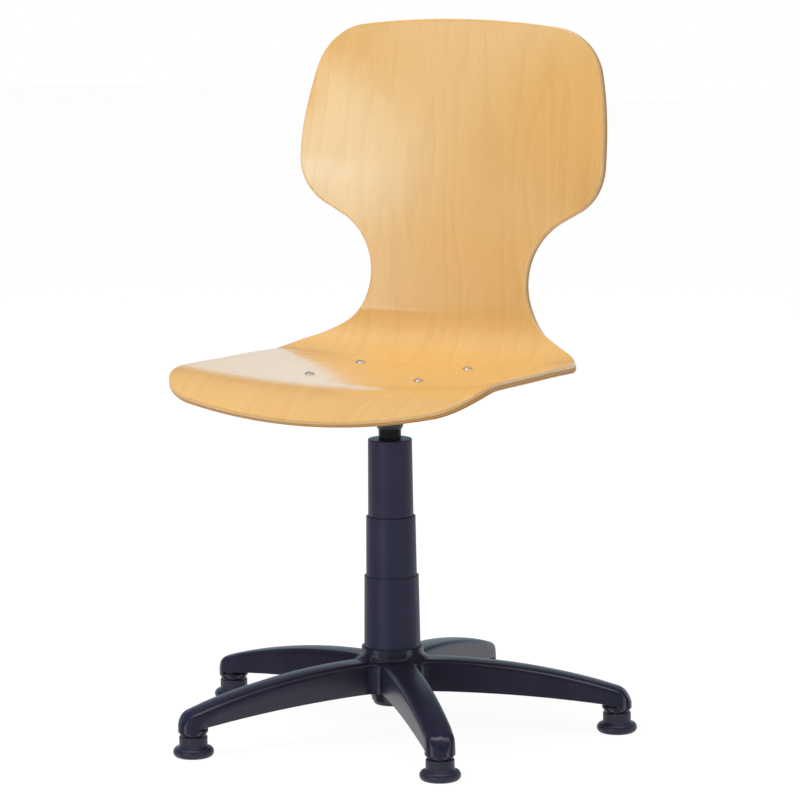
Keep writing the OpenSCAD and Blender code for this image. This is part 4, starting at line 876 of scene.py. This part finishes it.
def dish(s):
    """Rise of the shell DISH_AT from its middle, eased from one place to the next."""
    for (s0, d0), (s1, d1) in zip(DISH, DISH[1:]):
        if s <= s1 or s1 == SHELL_LEN:
            return d0 + (d1 - d0) * ease(held((s - s0) / (s1 - s0)))


def shell_point(x, s, t):
    """Point x across and s along the sitter's face, t below it."""
    y, z, heading = walk(s)
    bow = 2 * dish(s) / DISH_AT ** 2
    lean = math.sqrt(1 + (bow * x) ** 2)
    rise = bow * x * x / 2 - t / lean
    return (x + t * bow * x / lean, COLUMN[1] + y - COLUMN_P[0] - math.sin(heading) * rise,
            SEAT_Z + z - COLUMN_P[1] + math.cos(heading) * rise)


def side_at(o, j, from_top):
    """Point of the outline's front or top end, counted from its left corner."""
    k = abs(j - HALF_N)
    x, s = o[-1 - k] if from_top else o[k]
    return (-x, s) if j < HALF_N else (x, s)


def sheet_at(o, i, j):
    """Place (across, along) of a grid point that fills the outline o."""
    corner, top_corner, side = o[HALF_N], o[HALF_N + ROW_N], o[HALF_N + i]
    low, high = side_at(o, j, False), side_at(o, j, True)
    v = (side[1] - corner[1]) / (top_corner[1] - corner[1])
    u = low[0] / corner[0]
    return (u * side[0] + v * (high[0] - u * top_corner[0]),
            side[1] + (1 - v) * (low[1] - corner[1]) + v * (high[1] - top_corner[1]))


def rim_at(o, n):
    """Place on the outline o, counted all the way round from the left front corner."""
    n %= 2 * (COL_N + ROW_N)
    if n < COL_N:
        return side_at(o, n, False)
    if n < COL_N + ROW_N:
        return o[HALF_N + n - COL_N]
    if n < 2 * COL_N + ROW_N:
        return side_at(o, 2 * COL_N + ROW_N - n, True)
    x, s = o[HALF_N + 2 * (COL_N + ROW_N) - n]
    return (-x, s)


# Rings round the edge, as (inset, depth): down the upper arris, then the lower one
RIM_STEPS = 5
drawn_in = outline_points(EDGE_R)
rings = [(EDGE_R * (1 - math.sin(a)), EDGE_R * (1 - math.cos(a)))
         for a in (math.radians(90 * k / RIM_STEPS) for k in range(RIM_STEPS + 1))]
rings += [(inset, PLY_T - t) for inset, t in reversed(rings)]
ring_outlines = [outline_points(inset) for inset, t in rings]


def shell_face(t):
    """Sitter's face, or the underside, with its place on the sheet and its depth as maps."""
    return woven_grid("shell_face", COL_N, ROW_N, lambda j, i: shell_point(*sheet_at(drawn_in, i, j), t),
                      sheet=lambda j, i: sheet_at(drawn_in, i, j), depth=lambda j, i: (t, 0.0))


rim_strip = woven_grid(
    "shell_rim", 2 * (COL_N + ROW_N), len(rings) - 1,
    lambda n, k: shell_point(*rim_at(ring_outlines[k], n), rings[k][1]),
    sheet=lambda n, k: rim_at(ring_outlines[k], n), depth=lambda n, k: (rings[k][1], 1.0))
shell = weld(joined("seat_shell_ply", [shell_face(0.0), shell_face(PLY_T), rim_strip]), gap=1e-6)

# Counterbored holes for the four bolts, square to the seat
BOLT_X, BOLT_Y, HEAD_BORE_R, SHANK_BORE_R = 0.075, 0.068, 0.0065, 0.0033
SPOT_DEPTH, HEAD_BORE_H, SHANK_BORE_UP, SHANK_BORE_LOW = 0.0006, 0.02, 0.01, -0.03
# The bores show the plies as they look at this depth
BORE_PLY_DEPTH = 0.003
SEAT_FRAME = Matrix.Translation((*COLUMN, SEAT_Z)) @ Matrix.Rotation(math.radians(-SEAT_SLOPE), 4, "X")
RECESS_Z = SEAT_DISH / DISH_AT ** 2 * BOLT_X ** 2 - SPOT_DEPTH


def drill(obj, radius, low, high):
    """Cuts a hole at each bolt, from low to high in the seat's frame."""
    for x in (-BOLT_X, BOLT_X):
        for y in (-BOLT_Y, BOLT_Y):
            bpy.ops.object.select_all(action="DESELECT")
            bpy.ops.mesh.primitive_cylinder_add(vertices=48, radius=radius, depth=high - low)
            cutter = bpy.context.object
            put(cutter, SEAT_FRAME @ Matrix.Translation((x, y, (low + high) / 2)))
            for label, value in (("sheet", (x, COLUMN_S + y)), ("depth", (BORE_PLY_DEPTH, 1.0))):
                for loop in cutter.data.uv_layers.new(name=label).data:
                    loop.uv = value
            finish_with(obj, "BOOLEAN", object=cutter, operation="DIFFERENCE", solver="EXACT")
            bpy.data.objects.remove(cutter)


drill(shell, HEAD_BORE_R, RECESS_Z, RECESS_Z + HEAD_BORE_H)
drill(shell, SHANK_BORE_R, SHANK_BORE_LOW, RECESS_Z + SHANK_BORE_UP)
smooth(shell, sharp=32)

# Beech: colours of the veneer and its figures, with the figures' scale across and
# along the grain and their share of the colour, and colours of the plies at the edge
VENEER = (0.705, 0.412, 0.121), (0.780, 0.475, 0.156)
RING_BROWN, FIBRE_BROWN, FLECK_BROWN = (0.595, 0.297, 0.074), (0.614, 0.327, 0.090), (0.42, 0.21, 0.07)
RING_SHARE, FIBRE_SHARE, FLECK_SHARE = 0.36, 0.34, 0.22
CLOUDS, FIBRES, FLECKS = (14.0, 3.0), (480.0, 17.0), (900.0, 120.0)
RING_RATE, RING_SPREAD = 3.2, 7.0
WANDER, WANDER_BY, TEETH, TEETH_BY = (9.0, 1.3), 3.4, (260.0, 45.0), 0.05
FLECK_RELIEF = -0.5
PLIES = 7
SIDE_GRAIN = (0.74, 0.42, 0.140), (0.82, 0.48, 0.180)
END_GRAIN = (0.51, 0.245, 0.062), (0.61, 0.31, 0.088)
# The last is painted shade: the plies' colour is scaled down to it at the underside
GLUE, GLUE_SHARE, PAINTED_UNDER_SHADE = (0.18, 0.085, 0.03), 0.4, 0.62
# The veneer is rolled this far over the upper edge and the lower one
ROLLED, ARRIS = 0.0028, 0.0011
# Painted highlight: a pale cream line along the rim's rounded edges, top and bottom
PAINTED_ARRIS_HIGHLIGHT = (0.95, 0.74, 0.46)
# On the veneer and on the plies: strength of the coat, and gloss of the wood below
COAT, WOOD_GLOSS = (0.9, 0.1), (0.5, 0.15)


def between(tree, mask, first, second):
    """Value that goes from the first to the second with a mask."""
    return maths(tree, "MULTIPLY_ADD", mask, second - first, first)


def along_grain(tree, sheet, scale, detail, roughness=0.5):
    """Noise on the flat sheet, with its own scale across and along the grain."""
    drawn = add(tree, "ShaderNodeMapping", Vector=sheet, Scale=(*scale, 1.0)).outputs[0]
    return noise(tree, drawn, 1.0, detail, roughness)


def veneer_face(tree, sheet):
    """Crown-cut beech: wavering rings, fine fibres and the short dark rays; colour and relief."""
    wander = along_grain(tree, sheet, WANDER, detail=2.0)
    teeth = along_grain(tree, sheet, TEETH, detail=1.0)
    across = add(tree, "ShaderNodeSeparateXYZ", Vector=sheet).outputs["X"]
    bands = maths(tree, "MULTIPLY_ADD", wander, WANDER_BY, maths(tree, "MULTIPLY", across, RING_SPREAD))
    bands = maths(tree, "MULTIPLY_ADD", teeth, TEETH_BY, bands)
    bands = maths(tree, "FRACT", maths(tree, "MULTIPLY", bands, RING_RATE))
    ring = ramp(tree, bands, ((0.0, 0.25), (0.55, 0.5), (0.92, 0.95), (1.0, 0.25)))
    fibres = along_grain(tree, sheet, FIBRES, detail=5.0, roughness=0.65)
    fibre = ramp(tree, fibres, ((0.34, 0.0), (0.66, 1.0)))
    fleck = ramp(tree, along_grain(tree, sheet, FLECKS, detail=1.0), ((0.60, 0.0), (0.76, 1.0)))
    colour = blend_colours(tree, along_grain(tree, sheet, CLOUDS, detail=3.0), *VENEER)
    colour = tint(tree, colour, RING_BROWN, ring, RING_SHARE)
    colour = tint(tree, colour, FIBRE_BROWN, fibre, FIBRE_SHARE)
    colour = tint(tree, colour, FLECK_BROWN, fleck, FLECK_SHARE)
    return colour, maths(tree, "MULTIPLY_ADD", fleck, FLECK_RELIEF, fibres)


def ply_edge(tree, below, place):
    """Plies that show end grain at every second veneer, with thin glue lines; painted shade makes them
    darker lower down.
    """
    ply = maths(tree, "MULTIPLY", below, PLIES / PLY_T)
    second = maths(tree, "GREATER_THAN", maths(tree, "FRACT", maths(tree, "MULTIPLY", ply, 0.5)), 0.5)
    glue = ramp(tree, maths(tree, "FRACT", ply), ((0.0, 1.0), (0.09, 0.0), (0.91, 0.0), (1.0, 1.0)))
    pores = noise(tree, place, scale=1500.0, detail=2.0)
    side_grain, end_grain = blend_colours(tree, pores, *SIDE_GRAIN), blend_colours(tree, pores, *END_GRAIN)
    edge = tint(tree, blend_colours(tree, second, side_grain, end_grain), GLUE, glue, GLUE_SHARE)
    # Painted shade: the plies' colour darkens from a third of the way down to the underside
    shade = ramp(tree, maths(tree, "DIVIDE", below, PLY_T), ((0.3, 1.0), (1.0, PAINTED_UNDER_SHADE)))
    return blend_colours(tree, 1.0, edge, shade, "MULTIPLY")


def uv_map(tree, label):
    """Named map of the shell, as a socket."""
    node = tree.nodes.new("ShaderNodeUVMap")
    node.uv_map = label
    return node.outputs[0]


def lacquered_beech(name):
    """Veneer on the faces and the rolled edges, plies in between, under satin lacquer."""
    material, tree, place = new_material(name)
    sheet = uv_map(tree, "sheet")
    depth = add(tree, "ShaderNodeSeparateXYZ", Vector=uv_map(tree, "depth"))
    below = depth.outputs["X"]
    at_rim = ramp(tree, depth.outputs["Y"], ((0.4, 0.0), (0.6, 1.0)))
    # 0 at either face, and 0.5 where the rolled veneer ends
    sunk = maths(tree, "MULTIPLY", maths(tree, "SUBTRACT", PLY_T, below), ROLLED / ARRIS)
    sunk = maths(tree, "DIVIDE", maths(tree, "MINIMUM", below, sunk), 2 * ROLLED)
    # Painted highlight: a pale band on the rim, just inside where the rolled veneer ends
    arris_highlight = product(tree, at_rim, ramp(tree, sunk, ((0.2, 0.0), (0.40, 0.55), (0.47, 0.55), (0.53, 0.0))))
    inside = product(tree, at_rim, maths(tree, "GREATER_THAN", sunk, 0.5))
    colour, relief = veneer_face(tree, sheet)
    colour = blend_colours(tree, inside, colour, ply_edge(tree, below, place))
    colour = blend_colours(tree, arris_highlight, colour, PAINTED_ARRIS_HIGHLIGHT)
    # The lacquer lies smooth over faintly open fibres, and soaks into the plies
    smear = noise(tree, sheet, scale=11.0, detail=3.0)
    end_with(tree, Base_Color=colour, Roughness=0.48, Normal=bumps(tree, relief, 0.22, 0.00004),
             Specular_IOR_Level=between(tree, inside, *WOOD_GLOSS),
             Coat_Weight=between(tree, inside, *COAT),
             Coat_Roughness=varied(tree, smear, 0.14, 0.08), Coat_IOR=1.55)
    return material


dress(shell, lacquered_beech("beech_veneer"), "seat", "beech_ply", "seat_shell")
